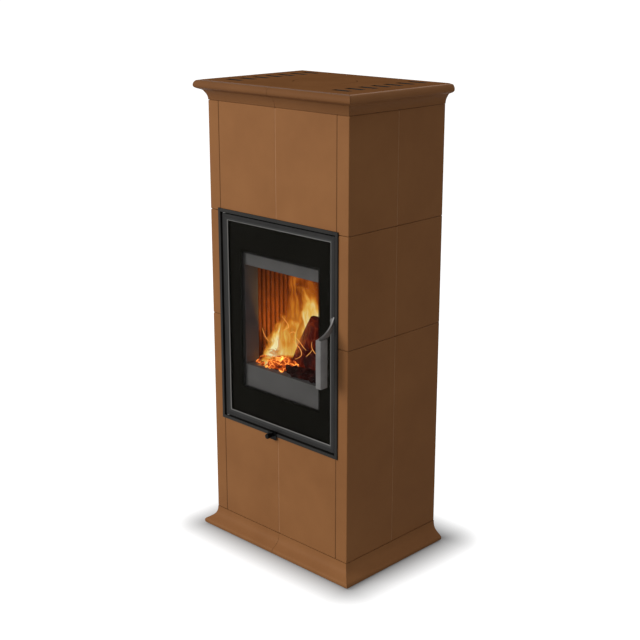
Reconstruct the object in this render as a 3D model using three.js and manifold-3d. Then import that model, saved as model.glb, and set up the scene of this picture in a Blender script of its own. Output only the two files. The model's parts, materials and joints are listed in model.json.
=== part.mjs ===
// A free-standing wood stove with a skin of glazed tiles, a glazed door and a slotted top.
// Millimetres, +Z up, front towards -Y. The origin is the middle of the base plate's underside,
// so Y = 0 is also the middle of the tiled body.
import * as THREE from 'three';
import { mergeVertices } from 'three/addons/utils/BufferGeometryUtils.js';
import Module from 'manifold-3d';

const wasm = await Module();
wasm.setup();

// ---------------------------------------------------------------------------------------------
// Driving dimensions
// ---------------------------------------------------------------------------------------------

// Clearances
const seatGap = 0.3;            // between pieces that rest on each other
const tileJoint = 0.8;          // between neighbouring tiles
const frameClearance = 0.4;     // door surround to the tiles it passes between
const slideClearance = 1;       // round pieces that slide or lift

// Tiled body
const bodyWidth = 540;
const bodyDepth = 384;
const rowHeight = 310;
const rowCount = 4;
const tileDepth = 32;           // from the glazed face to the back of the rim
const tileFace = 11;            // thickness of the glazed plate inside the rim
const tileRim = 14;
const tileEdgeRadius = 2.5;
const cornerReturn = 42.5;      // front leg of the L-shaped corner tiles

// Plinth and cornice mouldings
const plinthHeight = 58;
const plinthOverhang = 30;
const plinthWaist = { reach: 15, drop: 33 };    // where the cove turns over into the toe
const plinthToe = 8;            // height of the toe's furthest point
const corniceHeight = 55.4;
const corniceOverhang = 30;
const corniceCove = { reach: 10, rise: 26 };
const corniceLip = 34;          // height where the sweep meets the nose
const corniceNose = 41;         // height of the nose's furthest point
const mouldingRebate = 12;      // depth of the hollow at the back of each moulding
const mouldingHollow = 15;      // solid height left above and below that hollow

// Top plate with its slots and flue cover
const topPlateThickness = 5.3;
const topPlateReach = 12.8;     // beyond the tiled faces
const topPlateEdge = 2;
const slotCount = 7;
const slotLength = 60;
const slotWidth = 20;
const slotPitch = 50;
const slotRowX = 204;
const coverRadius = 88;
const coverThickness = 3.2;
const coverGroove = 1.8;        // gap round the cover
const coverLedge = 9;           // ledge in the plate that carries the cover
const coverNotch = { width: 9, depth: 5, turn: 0.75 };     // turn in radians from the X axis
const coverSpigotWall = 3;
const coverSpigotHeight = 8;

// Sheet steel carcass
const basePlateThickness = 3;
const basePlateReach = 16;      // beyond the tiled faces, under the plinth
const casingSheet = 2;
const casingFlange = 20;
const rearSheet = 2;
const legWidth = 30;
const legSheet = 3;
const ventCount = 9;
const ventWidth = 8;
const ventHeight = 60;
const ventPitch = 28;
const ventRowLow = 60;          // middle of the low vents above the base plate
const ventRowHigh = 70;         // middle of the high vents below the top plate

// Door surround
const surroundOverlap = 7.5;    // flange over the tiles
const surroundProud = 4;        // flange in front of the tiles
const surroundWall = 2;
const surroundChamfer = 1.2;

// Door
const doorGap = 3.6;            // between the door and the surround
const doorThickness = 14;
const doorLip = 19.5;           // width of the rim in front of the glass
const doorBevel = 8;            // sloping part of that rim
const doorLipThickness = 5;
const doorBevelEdge = 0.8;      // thickness left at the bevel's inner edge
const glassThickness = 4;
const glassLap = 5;             // glass held behind the lip on each side
const sealWidth = 10;
const sealSides = 8;
const sealInset = 27.5;         // middle of the rope from the door's outer edge
const hingeInset = 6;           // hinge axis from the door's side and front
const hingePinRadius = 3;
const hingeCollarRadius = 6;
const hingePinDepth = 12;       // length of the pin inside the door
const retainerInset = 3;        // outer edge of the glass retainer from the door's edge
const retainerSheet = 2;

// Handle and latch
const handleInset = 7.5;        // spindle from the door's outer edge
const handleRise = 76;          // spindle above the middle of the door
const spindleRadius = 4;
const bossRadius = 5.8;
const bossHeight = 4;
const armThickness = 5;
const armStep = 5.2;            // arm held clear of the door surround beyond the boss
const armOffset = 6.5;          // arm and grip beyond the spindle
const gripWidth = 19;
const gripDepth = 27;
const gripLength = 136;
const gripDrop = 41;            // top of the grip below the spindle
const gripStandoff = 35;        // from the door to the back of the grip
const gripEdge = 1.5;
const tangRadius = 4;
const tangLength = 18;
const camLength = 12;
const camRadius = 5;
const camThickness = 5;
const keeperHeight = 28;
const keeperSheet = 3;

// Firebox front, mouth and ash mouth
const plateThickness = 5;
const sealSeat = 20;            // from the tiled face to the front plate
const mouthWidth = 304;
const mouthHeight = 298;
const mouthRise = 13;           // middle of the mouth above the middle of the door
const throatDepth = 46;
const throatWall = 4;
const ashMouthWidth = 300;
const ashMouthHeight = 62;
const ashMouthDrop = 66;        // below the firebox mouth

// Firebox shell
const shellWidth = 410;
const shellBack = 130;          // Y of the shell's back face
const shellWall = 4;
const smokeGap = 55;            // between the baffle and the firebox's roof
const chamberWidth = 320;       // smoke chamber on top of the firebox
const chamberFront = -95;
const chamberDrop = 94;         // chamber's roof below the top plate
const hearthThickness = 24;
const liningThickness = 25;
const fluteRadius = 9;
const fluteDepth = 7;
const baffleThickness = 25;
const baffleDepth = 165;
const grateWidth = 180;
const grateDepth = 130;
const grateThickness = 10;
const grateRim = 12;
const grateBars = 7;
const grateLedge = 14;          // seat round the grate's hole
const flueRadius = 75;
const flueDrop = 105;           // flue axis below the smoke chamber's roof
const flueWall = 2;
const flueLength = 92;
const flueFlange = 16;
const outletRadius = 75;
const outletCapRim = 12;
const outletCapHeight = 14;
const outletCapSheet = 3;

// Ash drawer
const drawerSheet = 2;
const drawerLength = 225;
const drawerFront = 4;
const drawerPullWidth = 80;
const drawerPullReach = 7;
const drawerPullDrop = 11;      // below the drawer's top edge
const drawerPullSheet = 2.5;
const drawerPullLip = 9;
const ledgeWidth = 76;
const ledgeSheet = 3;
const ledgeLength = 250;

// Air control
const airSheet = 1.5;
const airTabWidth = 34;
const airTabDrop = 20;
const airTongueWidth = 24;
const airX = -19;               // where the control stands in its travel
const airTravel = 24;           // from closed to fully open
const shutterWidth = 170;
const shutterDepth = 58;
const airHoleWidth = 22;
const airHoleDepth = 30;
const airHolePitch = 48;
const airHoleCount = 3;
const knobRadius = 7.5;
const knobLength = 22;
const knobDrop = 6;             // below the tongue
const knobStemRadius = 2.5;

// Firewood: a thin and a thick log on the hearth, and one leaning across them. Turns are in
// radians: about Z from the X axis, then the lean about the log's own level axis.
const logs = {
  log_left: { radius: 18, length: 120, cleft: 0.8, x: -78, y: -46, turn: 0.6, lean: 0 },
  log_right: { radius: 37, length: 135, cleft: 0.8, x: 62, y: -46, turn: 1.45, lean: 0 },
  log_top: { radius: 32, length: 152, cleft: 1, x: 14, y: -76, turn: -0.1, lean: 1.08 },
};

// ---------------------------------------------------------------------------------------------
// Planes worked out from the driving dimensions
// ---------------------------------------------------------------------------------------------

const halfWidth = bodyWidth / 2;
const frontY = -bodyDepth / 2;
const backY = bodyDepth / 2;
const rowZ = (row) => plinthHeight + row * rowHeight;
const skinTop = rowZ(rowCount);
const doorRows = { first: 1, last: 3 };
const doorZ = (rowZ(doorRows.first) + rowZ(doorRows.last)) / 2;

const floorZ = basePlateThickness + seatGap;
const topPlateTop = skinTop + corniceHeight + 0.6;
const topPlateUnder = topPlateTop - topPlateThickness;
const corniceLedge = topPlateUnder - seatGap - skinTop;

const casingX = halfWidth - tileDepth - seatGap;
const casingFrontY = frontY + tileDepth + seatGap;
const rearPanelY = backY - rearSheet;
const casingTop = topPlateUnder - seatGap;

// Door opening, as half sizes about the middle of the door
const openingX = halfWidth - cornerReturn;
const openingZ = (rowZ(doorRows.last) - rowZ(doorRows.first)) / 2 + tileJoint / 2;
const surroundX = openingX + surroundOverlap;
const surroundZ = openingZ + surroundOverlap;
const sleeveInset = surroundOverlap + frameClearance;
const sleeveX = surroundX - sleeveInset - surroundWall;
const sleeveZ = surroundZ - sleeveInset - surroundWall;
const doorX = sleeveX - doorGap;
const doorHalfZ = sleeveZ - doorGap;
const glassEdge = doorLip - glassLap;
const glassY = doorLipThickness + seatGap;
const glassBackY = glassY + glassThickness;
const plateBackY = sealSeat + plateThickness;

const airTongueZ = doorZ - sleeveZ + seatGap;
const shellBottom = airTongueZ + airSheet + slideClearance;
const shellTop = doorZ + sleeveZ - seatGap;
const shellX = shellWidth / 2;
const chamberX = chamberWidth / 2;
const chamberTop = topPlateUnder - chamberDrop;
const flueHeight = chamberTop - flueDrop;
const shellInnerTop = shellTop - shellWall;
const shellFrontY = frontY + plateBackY + seatGap;
const frontLegY = casingFrontY + casingSheet + slideClearance * 4;
const shellInnerX = shellX - shellWall;
const shellInnerFront = shellFrontY + shellWall;
const shellInnerBack = shellBack - shellWall;

const mouthX = mouthWidth / 2;
const mouthBottom = doorZ + mouthRise - mouthHeight / 2;
const mouthTop = mouthBottom + mouthHeight;
const ashMouthX = ashMouthWidth / 2;
const ashMouthTop = mouthBottom - ashMouthDrop;
const ashMouthBottom = ashMouthTop - ashMouthHeight;
const ledgeTop = ashMouthBottom + slideClearance;
const throatEndY = frontY + plateBackY + throatDepth;
const hearthSeat = mouthBottom - hearthThickness - seatGap;
const fireboxBottom = hearthSeat - shellWall;
const baffleBottom = shellInnerTop - smokeGap - baffleThickness;
const liningTop = baffleBottom - seatGap;
const liningBackY = shellInnerBack - seatGap - liningThickness;
const liningX = shellInnerX - seatGap - liningThickness;
const grateY = (throatEndY + liningBackY) / 2;

// ---------------------------------------------------------------------------------------------
// Materials
// ---------------------------------------------------------------------------------------------

const finish = (color, roughness, metalness) => ({ color, roughness, metalness });
const finishes = {
  glaze: finish(0x87593a, 0.22, 0),
  topEnamel: finish(0x6b4528, 0.3, 0.1),
  darkSteel: finish(0x41403c, 0.45, 0.6),
  rimSteel: finish(0x57554f, 0.4, 0.7),
  glass: { ...finish(0x1c1a17, 0.05, 0), transparent: true, opacity: 0.6 },
  rope: finish(0x9a958a, 0.95, 0),
  plateGrey: finish(0x5b5954, 0.6, 0.4),
  shellSteel: finish(0x33312f, 0.7, 0.5),
  brick: finish(0x7a4a2c, 0.9, 0),
  castIron: finish(0x2a2826, 0.8, 0.4),
  zinc: finish(0x8e9092, 0.5, 0.8),
  panelBlack: finish(0x262524, 0.6, 0.3),
  handleSteel: finish(0x66625f, 0.35, 0.8),
  blackKnob: finish(0x0d0c0c, 0.3, 0),
  charredWood: finish(0x2b1a12, 0.9, 0),
};

// ---------------------------------------------------------------------------------------------
// Helpers
// ---------------------------------------------------------------------------------------------

const v3 = (x, y, z) => new THREE.Vector3(x, y, z);

function add(parent, name, geometry, look) {
  const mesh = new THREE.Mesh(geometry, new THREE.MeshStandardMaterial(look));
  mesh.name = name;
  parent.add(mesh);
  return mesh;
}

function block([x0, x1], [y0, y1], [z0, z1]) {
  const geometry = new THREE.BoxGeometry(x1 - x0, y1 - y0, z1 - z0);
  return geometry.translate((x0 + x1) / 2, (y0 + y1) / 2, (z0 + z1) / 2);
}

const both = (half) => [-half, half];

// A rod along Y or Z between two stations.
function rodY(radius, [y0, y1], x, z, sides = 24) {
  const geometry = new THREE.CylinderGeometry(radius, radius, y1 - y0, sides);
  return geometry.translate(x, (y0 + y1) / 2, z);
}

function rodZ(radius, [z0, z1], x, y, sides = 24) {
  const geometry = new THREE.CylinderGeometry(radius, radius, z1 - z0, sides);
  return geometry.rotateX(Math.PI / 2).translate(x, y, (z0 + z1) / 2);
}

// Points along an ellipse's arc, angles in degrees.
function arc(cx, cy, rx, ry, from, to, steps) {
  return Array.from({ length: steps + 1 }, (_, i) => {
    const angle = THREE.MathUtils.degToRad(from + ((to - from) * i) / steps);
    return [cx + rx * Math.cos(angle), cy + ry * Math.sin(angle)];
  });
}

function curve(start, pullA, pullB, end, steps) {
  const vectors = [start, pullA, pullB, end].map(([x, y]) => new THREE.Vector2(x, y));
  const bezier = new THREE.CubicBezierCurve(...vectors);
  return bezier.getPoints(steps).map((point) => [point.x, point.y]);
}

function signedVolume(positions, index) {
  const corner = (i) => v3().fromArray(positions, index[i] * 3);
  let volume = 0;
  for (let i = 0; i < index.length; i += 3) {
    volume += corner(i).dot(corner(i + 1).cross(corner(i + 2))) / 6;
  }
  return volume;
}

function closedGeometry(positions, index) {
  if (signedVolume(positions, index) < 0) {
    index.reverse();
  }
  const geometry = new THREE.BufferGeometry();
  geometry.setAttribute('position', new THREE.Float32BufferAttribute(positions, 3));
  geometry.setIndex(index);
  geometry.computeVertexNormals();
  return geometry;
}

// Triangles that close a flat ring of points, turning the same way as the ring.
function capTriangles(ring) {
  const normal = v3();
  ring.forEach((point, i) => normal.add(point.clone().cross(ring[(i + 1) % ring.length])));
  const size = [Math.abs(normal.x), Math.abs(normal.y), Math.abs(normal.z)];
  const drop = size.indexOf(Math.max(...size));
  const [u, v] = [['y', 'z'], ['z', 'x'], ['x', 'y']][drop];
  const flat = ring.map((point) => new THREE.Vector2(point[u], point[v]));
  const turn = Math.sign(THREE.ShapeUtils.area(flat));
  return THREE.ShapeUtils.triangulateShape(flat, []).map(([a, b, c]) => {
    const area = THREE.ShapeUtils.area([flat[a], flat[b], flat[c]]);
    return area * turn > 0 ? [a, b, c] : [a, c, b];
  });
}

// A closed surface through rings of equal length: capped at both ends, or closed on itself.
function loft(rings, closed = false) {
  const count = rings[0].length;
  const positions = rings.flat().flatMap((point) => point.toArray());
  const index = [];
  const spans = closed ? rings.length : rings.length - 1;
  for (let r = 0; r < spans; r++) {
    const next = ((r + 1) % rings.length) * count;
    for (let i = 0; i < count; i++) {
      const a = r * count + i;
      const b = r * count + ((i + 1) % count);
      const c = next + i;
      const d = next + ((i + 1) % count);
      index.push(a, b, d, a, d, c);
    }
  }
  if (!closed) {
    const last = (rings.length - 1) * count;
    capTriangles(rings[0]).forEach(([a, b, c]) => index.push(a, c, b));
    capTriangles(rings.at(-1)).forEach(([a, b, c]) => index.push(last + a, last + b, last + c));
  }
  return closedGeometry(positions, index);
}

function toSolid(geometry) {
  const bare = geometry.clone();
  bare.deleteAttribute('normal');
  bare.deleteAttribute('uv');
  const merged = mergeVertices(bare);
  const vertProperties = new Float32Array(merged.attributes.position.array);
  const triVerts = new Uint32Array(merged.index.array);
  return new wasm.Manifold(new wasm.Mesh({ numProp: 3, vertProperties, triVerts }));
}

function toGeometry(solid) {
  const mesh = solid.getMesh();
  return closedGeometry(Array.from(mesh.vertProperties), Array.from(mesh.triVerts));
}

function cut(geometry, ...tools) {
  return toGeometry(tools.reduce((rest, tool) => rest.subtract(toSolid(tool)), toSolid(geometry)));
}

function join(first, ...others) {
  return toGeometry(others.reduce((sum, other) => sum.add(toSolid(other)), toSolid(first)));
}

function mirrorX(geometry) {
  const positions = Array.from(geometry.attributes.position.array, (n, i) => (i % 3 ? n : -n));
  return closedGeometry(positions, Array.from(geometry.index.array));
}

// A rectangular frame: each profile point is [inset from the outer edge, depth along Y].
function rectangularFrame(profile, halfX, halfZ) {
  const rings = profile.map(([inset, y]) => {
    const x = halfX - inset;
    const z = halfZ - inset;
    return [v3(-x, y, -z), v3(x, y, -z), v3(x, y, z), v3(-x, y, z)];
  });
  return loft(rings, true);
}

// An outline in the XY plane, raised from one Z to another.
function prismZ(outline, [z0, z1]) {
  return loft([z0, z1].map((z) => outline.map(([x, y]) => v3(x, y, z))));
}

// An outline given as [y, z], drawn out along X.
function prismX(outline, [x0, x1]) {
  return loft([x0, x1].map((x) => outline.map(([y, z]) => v3(x, y, z))));
}

// A turned piece about Y: each profile point is [radius, y], from axis to axis.
function turnedY(profile, sides) {
  const points = profile.map(([radius, y]) => new THREE.Vector2(radius, y));
  return toGeometry(toSolid(new THREE.LatheGeometry(points, sides)));
}

// ---------------------------------------------------------------------------------------------
// Tiled skin
// ---------------------------------------------------------------------------------------------

const edgeSteps = 3;
const quarterTurn = Array.from({ length: edgeSteps + 1 }, (_, i) => (i / edgeSteps) * (Math.PI / 2));

// A flat tile with its glazed face at -Y, standing on X and Z about its own middle.
function flatTile(width, height) {
  const ring = (inset, y) => {
    const x = width / 2 - inset;
    const z = height / 2 - inset;
    return [v3(-x, y, -z), v3(x, y, -z), v3(x, y, z), v3(-x, y, z)];
  };
  const rounded = quarterTurn.map((angle) => {
    const inset = tileEdgeRadius * (1 - Math.cos(angle));
    return ring(inset, tileEdgeRadius * (1 - Math.sin(angle)));
  });
  const hollow = [ring(tileRim, tileFace), ring(tileRim, tileDepth)];
  return loft([...hollow, ring(0, tileDepth), ...rounded]);
}

// The plan of an L-shaped corner tile on the right, its two glazed faces drawn back by an inset.
function cornerPlan(inset) {
  const r = tileEdgeRadius;
  const side = halfWidth - inset;
  const front = frontY + inset;
  const joint = -tileJoint / 2;
  return [
    ...arc(openingX + r, front + r, r, r, 180, 270, edgeSteps),
    ...arc(side - r, front + r, r, r, 270, 360, edgeSteps),
    ...arc(side - r, joint - r, r, r, 0, 90, edgeSteps),
    [halfWidth - tileDepth, joint],
    [halfWidth - tileDepth, frontY + tileDepth],
    [openingX, frontY + tileDepth],
  ];
}

function cornerTile([z0, z1]) {
  const bottom = quarterTurn.map((angle) => ({
    inset: tileEdgeRadius * (1 - Math.sin(angle)),
    z: z0 + tileEdgeRadius * (1 - Math.cos(angle)),
  }));
  const top = bottom.map(({ inset, z }) => ({ inset, z: z0 + z1 - z })).reverse();
  const rings = [...bottom, ...top].map(({ inset, z }) => cornerPlan(inset).map(([x, y]) => v3(x, y, z)));
  const hollow = block(
    [halfWidth - tileDepth - tileFace, halfWidth - tileFace],
    [frontY + tileDepth + tileRim, -tileJoint / 2 - tileRim],
    [z0 + tileRim, z1 - tileRim],
  );
  return cut(loft(rings), hollow);
}

const sides = [
  { side: 'left', sign: -1 },
  { side: 'right', sign: 1 },
];
const sideRows = [
  { row: 'lower', first: 0, last: 2 },
  { row: 'middle', first: 2, last: 3 },
  { row: 'upper', first: 3, last: 4 },
];
const frontRows = [
  { row: 'lower', first: 0, last: doorRows.first },
  { row: 'upper', first: doorRows.last, last: rowCount },
];

function buildTiles(stove) {
  const rowSpan = ({ first, last }) => [rowZ(first) + tileJoint / 2, rowZ(last) - tileJoint / 2];
  for (const { side, sign } of sides) {
    for (const row of sideRows) {
      const [z0, z1] = rowSpan(row);
      const corner = cornerTile([z0, z1]);
      add(stove, `corner_tile_${side}_${row.row}`, sign > 0 ? corner : mirrorX(corner), finishes.glaze);

      const length = backY - tileJoint / 2;
      const tile = add(stove, `side_tile_${side}_${row.row}`, flatTile(length, z1 - z0), finishes.glaze);
      tile.rotation.z = (sign * Math.PI) / 2;
      tile.position.set(sign * halfWidth, backY - length / 2, (z0 + z1) / 2);
    }
    for (const row of frontRows) {
      const [z0, z1] = rowSpan(row);
      const width = openingX - tileJoint * 1.5;
      const tile = add(stove, `front_tile_${row.row}_${side}`, flatTile(width, z1 - z0), finishes.glaze);
      tile.position.set(sign * (tileJoint / 2 + width / 2), frontY, (z0 + z1) / 2);
    }
  }
}

// Profiles of the mouldings: [reach beyond the tiled face, height]. The plinth is one long cove
// that turns over into a rounded toe; the cornice is a small cove, a sweep and a full nose.
const plinthProfile = (() => {
  const top = plinthHeight - tileJoint / 2;
  const waist = [plinthWaist.reach, plinthHeight - plinthWaist.drop];
  const toe = [plinthOverhang, floorZ + plinthToe];
  return [
    ...curve([0, top], [0.4, top - plinthWaist.drop * 0.55], [waist[0] * 0.3, waist[1] + 7], waist, 8),
    ...curve(waist, [waist[0] + 7, waist[1] - 6], [toe[0] - 0.2, toe[1] + 6], toe, 6).slice(1),
    ...curve(toe, [toe[0], toe[1] - 4], [toe[0] - 1, floorZ + 1], [toe[0] - 2, floorZ], 3).slice(1),
    [-tileDepth, floorZ],
    [-tileDepth, floorZ + mouldingHollow],
    [-tileDepth + mouldingRebate, floorZ + mouldingHollow],
    [-tileDepth + mouldingRebate, top - mouldingHollow],
    [-tileDepth, top - mouldingHollow],
    [-tileDepth, top],
  ];
})();

const corniceProfile = (() => {
  const bottom = skinTop + tileJoint / 2;
  const cove = [corniceCove.reach, skinTop + corniceCove.rise];
  const lip = [corniceOverhang - 3, skinTop + corniceLip];
  const nose = [corniceOverhang, skinTop + corniceNose];
  const plateEdge = topPlateReach + tileJoint;
  const crown = [plateEdge + 9, skinTop + corniceHeight - 1.5];
  const ledge = skinTop + corniceLedge;
  return [
    ...curve([0, bottom], [0.4, bottom + corniceCove.rise * 0.5], [cove[0] - 5, cove[1] - 8], cove, 7),
    ...curve(cove, [cove[0] + 3, cove[1] + 3.5], [lip[0] - 6, lip[1] - 4.5], lip, 5).slice(1),
    ...curve(lip, [lip[0] + 2, lip[1] + 1.5], [nose[0], nose[1] - 3], nose, 3).slice(1),
    ...curve(nose, [nose[0], nose[1] + 5], [crown[0] + 4, crown[1] - 1.5], crown, 5).slice(1),
    [plateEdge, skinTop + corniceHeight],
    [plateEdge, ledge],
    [-tileDepth, ledge],
    [-tileDepth, ledge - mouldingHollow],
    [-tileDepth + mouldingRebate, ledge - mouldingHollow],
    [-tileDepth + mouldingRebate, bottom + mouldingHollow],
    [-tileDepth, bottom + mouldingHollow],
    [-tileDepth, bottom],
  ];
})();

// A moulding along the front, from the mitre at one corner to the joint in the middle.
function frontMoulding(profile, sign) {
  const mitreGap = tileJoint * Math.SQRT1_2;
  const ends = [
    (reach) => sign * (halfWidth + reach - mitreGap),
    () => (sign * tileJoint) / 2,
  ];
  return loft(ends.map((at) => profile.map(([reach, z]) => v3(at(reach), frontY - reach, z))));
}

// A moulding along a side, from the mitre at the front corner to the back.
function sideMoulding(profile, sign) {
  const mitreGap = tileJoint * Math.SQRT1_2;
  const ends = [(reach) => frontY - reach + mitreGap, () => backY];
  return loft(ends.map((at) => profile.map(([reach, z]) => v3(sign * (halfWidth + reach), at(reach), z))));
}

function buildMouldings(stove) {
  for (const { side, sign } of sides) {
    add(stove, `plinth_front_${side}`, frontMoulding(plinthProfile, sign), finishes.glaze);
    add(stove, `plinth_${side}`, sideMoulding(plinthProfile, sign), finishes.glaze);
    add(stove, `cornice_front_${side}`, frontMoulding(corniceProfile, sign), finishes.glaze);
    add(stove, `cornice_${side}`, sideMoulding(corniceProfile, sign), finishes.glaze);
  }
}

// ---------------------------------------------------------------------------------------------
// Top plate and flue cover
// ---------------------------------------------------------------------------------------------

function slotTool(x, y) {
  const shape = new THREE.Shape();
  const radius = 3;
  const [hx, hy] = [slotLength / 2 - radius, slotWidth / 2 - radius];
  shape.absarc(hx, hy, radius, 0, Math.PI / 2);
  shape.absarc(-hx, hy, radius, Math.PI / 2, Math.PI);
  shape.absarc(-hx, -hy, radius, Math.PI, Math.PI * 1.5);
  shape.absarc(hx, -hy, radius, Math.PI * 1.5, Math.PI * 2);
  const depth = topPlateThickness * 2;
  const tool = new THREE.ExtrudeGeometry(shape, { depth, bevelEnabled: false, curveSegments: 2 });
  return tool.translate(x, y, topPlateUnder - topPlateThickness / 2);
}

function buildTop(stove) {
  const x = halfWidth + topPlateReach;
  const front = frontY - topPlateReach;
  const plan = (inset) => [
    [-x + inset, front + inset], [x - inset, front + inset], [x - inset, backY], [-x + inset, backY],
  ];
  const ring = (inset, z) => plan(inset).map(([px, py]) => v3(px, py, z));
  const rounded = quarterTurn.map((angle) => {
    const inset = topPlateEdge * (1 - Math.cos(angle));
    return ring(inset, topPlateTop - topPlateEdge * (1 - Math.sin(angle)));
  });
  const slots = [];
  for (const row of [-slotRowX, slotRowX]) {
    for (let i = 0; i < slotCount; i++) {
      slots.push(slotTool(row, (i - (slotCount - 1) / 2) * slotPitch));
    }
  }
  const socketRadius = coverRadius + coverGroove;
  const holeRadius = coverRadius - coverLedge;
  const socketFloor = topPlateTop - coverThickness - seatGap;
  const socket = rodZ(socketRadius, [socketFloor, topPlateTop + 1], 0, 0, 72);
  const hole = rodZ(holeRadius, [topPlateUnder - 1, topPlateTop], 0, 0, 72);
  const plate = cut(loft([ring(0, topPlateUnder), ...rounded]), socket, hole, ...slots);
  add(stove, 'top_plate', plate, finishes.topEnamel);

  const spigot = holeRadius - slideClearance;
  const throughCover = [topPlateTop - coverThickness - 1, topPlateTop + 1];
  const notches = [0, Math.PI].map((opposite) => {
    const reach = [coverRadius - coverNotch.depth, coverRadius + 1];
    return block(reach, both(coverNotch.width / 2), throughCover).rotateZ(coverNotch.turn + opposite);
  });
  const cover = join(
    cut(rodZ(coverRadius, [topPlateTop - coverThickness, topPlateTop], 0, 0, 72), ...notches),
    cut(
      rodZ(spigot, [topPlateTop - coverThickness - coverSpigotHeight, topPlateTop - 1], 0, 0, 72),
      rodZ(spigot - coverSpigotWall, [topPlateTop - coverSpigotHeight * 3, topPlateTop - coverThickness],
        0, 0, 72),
    ),
  );
  add(stove, 'flue_cover', cover, finishes.topEnamel);
}

// ---------------------------------------------------------------------------------------------
// Sheet steel carcass
// ---------------------------------------------------------------------------------------------

function buildCarcass(stove) {
  const baseX = halfWidth + basePlateReach;
  const base = block(both(baseX), [frontY - basePlateReach, backY], [0, basePlateThickness]);
  add(stove, 'base_plate', base, finishes.shellSteel);

  const flangeY = rearPanelY - seatGap;
  for (const { side, sign } of sides) {
    const plan = [
      [sign * casingX, casingFrontY],
      [sign * casingX, flangeY],
      [sign * (casingX - casingFlange), flangeY],
      [sign * (casingX - casingFlange), flangeY - casingSheet],
      [sign * (casingX - casingSheet), flangeY - casingSheet],
      [sign * (casingX - casingSheet), casingFrontY],
    ];
    add(stove, `casing_${side}`, prismZ(plan, [floorZ, casingTop]), finishes.zinc);
  }

  const backingX = both(casingX - casingSheet - seatGap);
  const backingY = [casingFrontY, casingFrontY + casingSheet];
  const upper = block(backingX, backingY, [rowZ(doorRows.last) + tileJoint / 2, casingTop]);
  const lower = block(backingX, backingY, [floorZ, rowZ(doorRows.first) - tileJoint / 2]);
  add(stove, 'front_backing_upper', upper, finishes.zinc);
  add(stove, 'front_backing_lower', lower, finishes.zinc);

  const vents = [];
  for (const z of [floorZ + ventRowLow, casingTop - ventRowHigh]) {
    for (let i = 0; i < ventCount; i++) {
      const x = (i - (ventCount - 1) / 2) * ventPitch;
      vents.push(block([x - ventWidth / 2, x + ventWidth / 2], [rearPanelY - 1, backY + 1],
        [z - ventHeight / 2, z + ventHeight / 2]));
    }
  }
  const flueHole = rodY(flueRadius + slideClearance * 3, [rearPanelY - 1, backY + 1], 0, flueHeight, 48);
  const sheet = block(both(casingX), [rearPanelY, backY], [floorZ, casingTop]);
  add(stove, 'rear_panel', cut(sheet, flueHole, ...vents), finishes.panelBlack);
}

// ---------------------------------------------------------------------------------------------
// Firebox: front plate, shell, linings, grate, baffle and flue
// ---------------------------------------------------------------------------------------------

// An angle-iron leg whose outer corner stands at (x, y), its flanges pointing by dx and dy.
function leg([x, dx], [y, dy]) {
  const plan = [
    [x, y],
    [x + dx * legWidth, y],
    [x + dx * legWidth, y + dy * legSheet],
    [x + dx * legSheet, y + dy * legSheet],
    [x + dx * legSheet, y + dy * legWidth],
    [x, y + dy * legWidth],
  ];
  return prismZ(plan, [floorZ, shellBottom + legSheet]);
}

// A ledge inside the ash box that the ash drawer's tray slides on.
function drawerLedge(sign) {
  const x = [sign * (shellX - ledgeSheet), sign * (shellInnerX - ledgeWidth)].sort((a, b) => a - b);
  const start = shellInnerFront + slideClearance;
  return block(x, [start, start + ledgeLength], [ledgeTop - ledgeSheet, ledgeTop]);
}

function buildFirebox(stove) {
  const plateY = [frontY + sealSeat, frontY + plateBackY];
  const plateX = sleeveX - seatGap;
  const mouth = (grow, y) => block(both(mouthX + grow), y, [mouthBottom - grow, mouthTop + grow]);
  const ashMouth = (y) => block(both(ashMouthX), y, [ashMouthBottom, ashMouthTop]);
  const past = ([y0, y1]) => [y0 - 1, y1 + 1];
  const slotX = doorX - handleInset;
  const slotZ = doorZ + handleRise;
  const slotHalf = camRadius + seatGap * 2;
  const camSlot = block([slotX - slotHalf, slotX + slotHalf], past(plateY),
    [slotZ - slotHalf, slotZ + camLength + seatGap * 2]);
  const keeper = block([slotX + camRadius + seatGap * 2, plateX],
    [plateY[1] - 1, plateY[1] + keeperSheet], [slotZ - keeperHeight / 2, slotZ + keeperHeight / 2]);
  const plate = join(
    block(both(plateX), plateY, [shellBottom, doorZ + sleeveZ - seatGap]),
    mouth(throatWall, [plateY[1] - 1, throatEndY]),
    keeper,
  );
  const opened = cut(plate, mouth(0, past([plateY[0], throatEndY])), ashMouth(past(plateY)), camSlot);
  add(stove, 'front_plate', opened, finishes.plateGrey);

  buildShell(stove, { mouth, ashMouth, past });
  buildHearth(stove);
  buildLinings(stove);

  const baffleX = shellInnerX - slideClearance;
  const baffleY = [shellInnerBack - seatGap - baffleDepth, shellInnerBack - seatGap];
  const baffle = block(both(baffleX), baffleY, [baffleBottom, baffleBottom + baffleThickness]);
  add(stove, 'baffle_plate', baffle, finishes.brick);

  buildFlue(stove);
}

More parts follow.
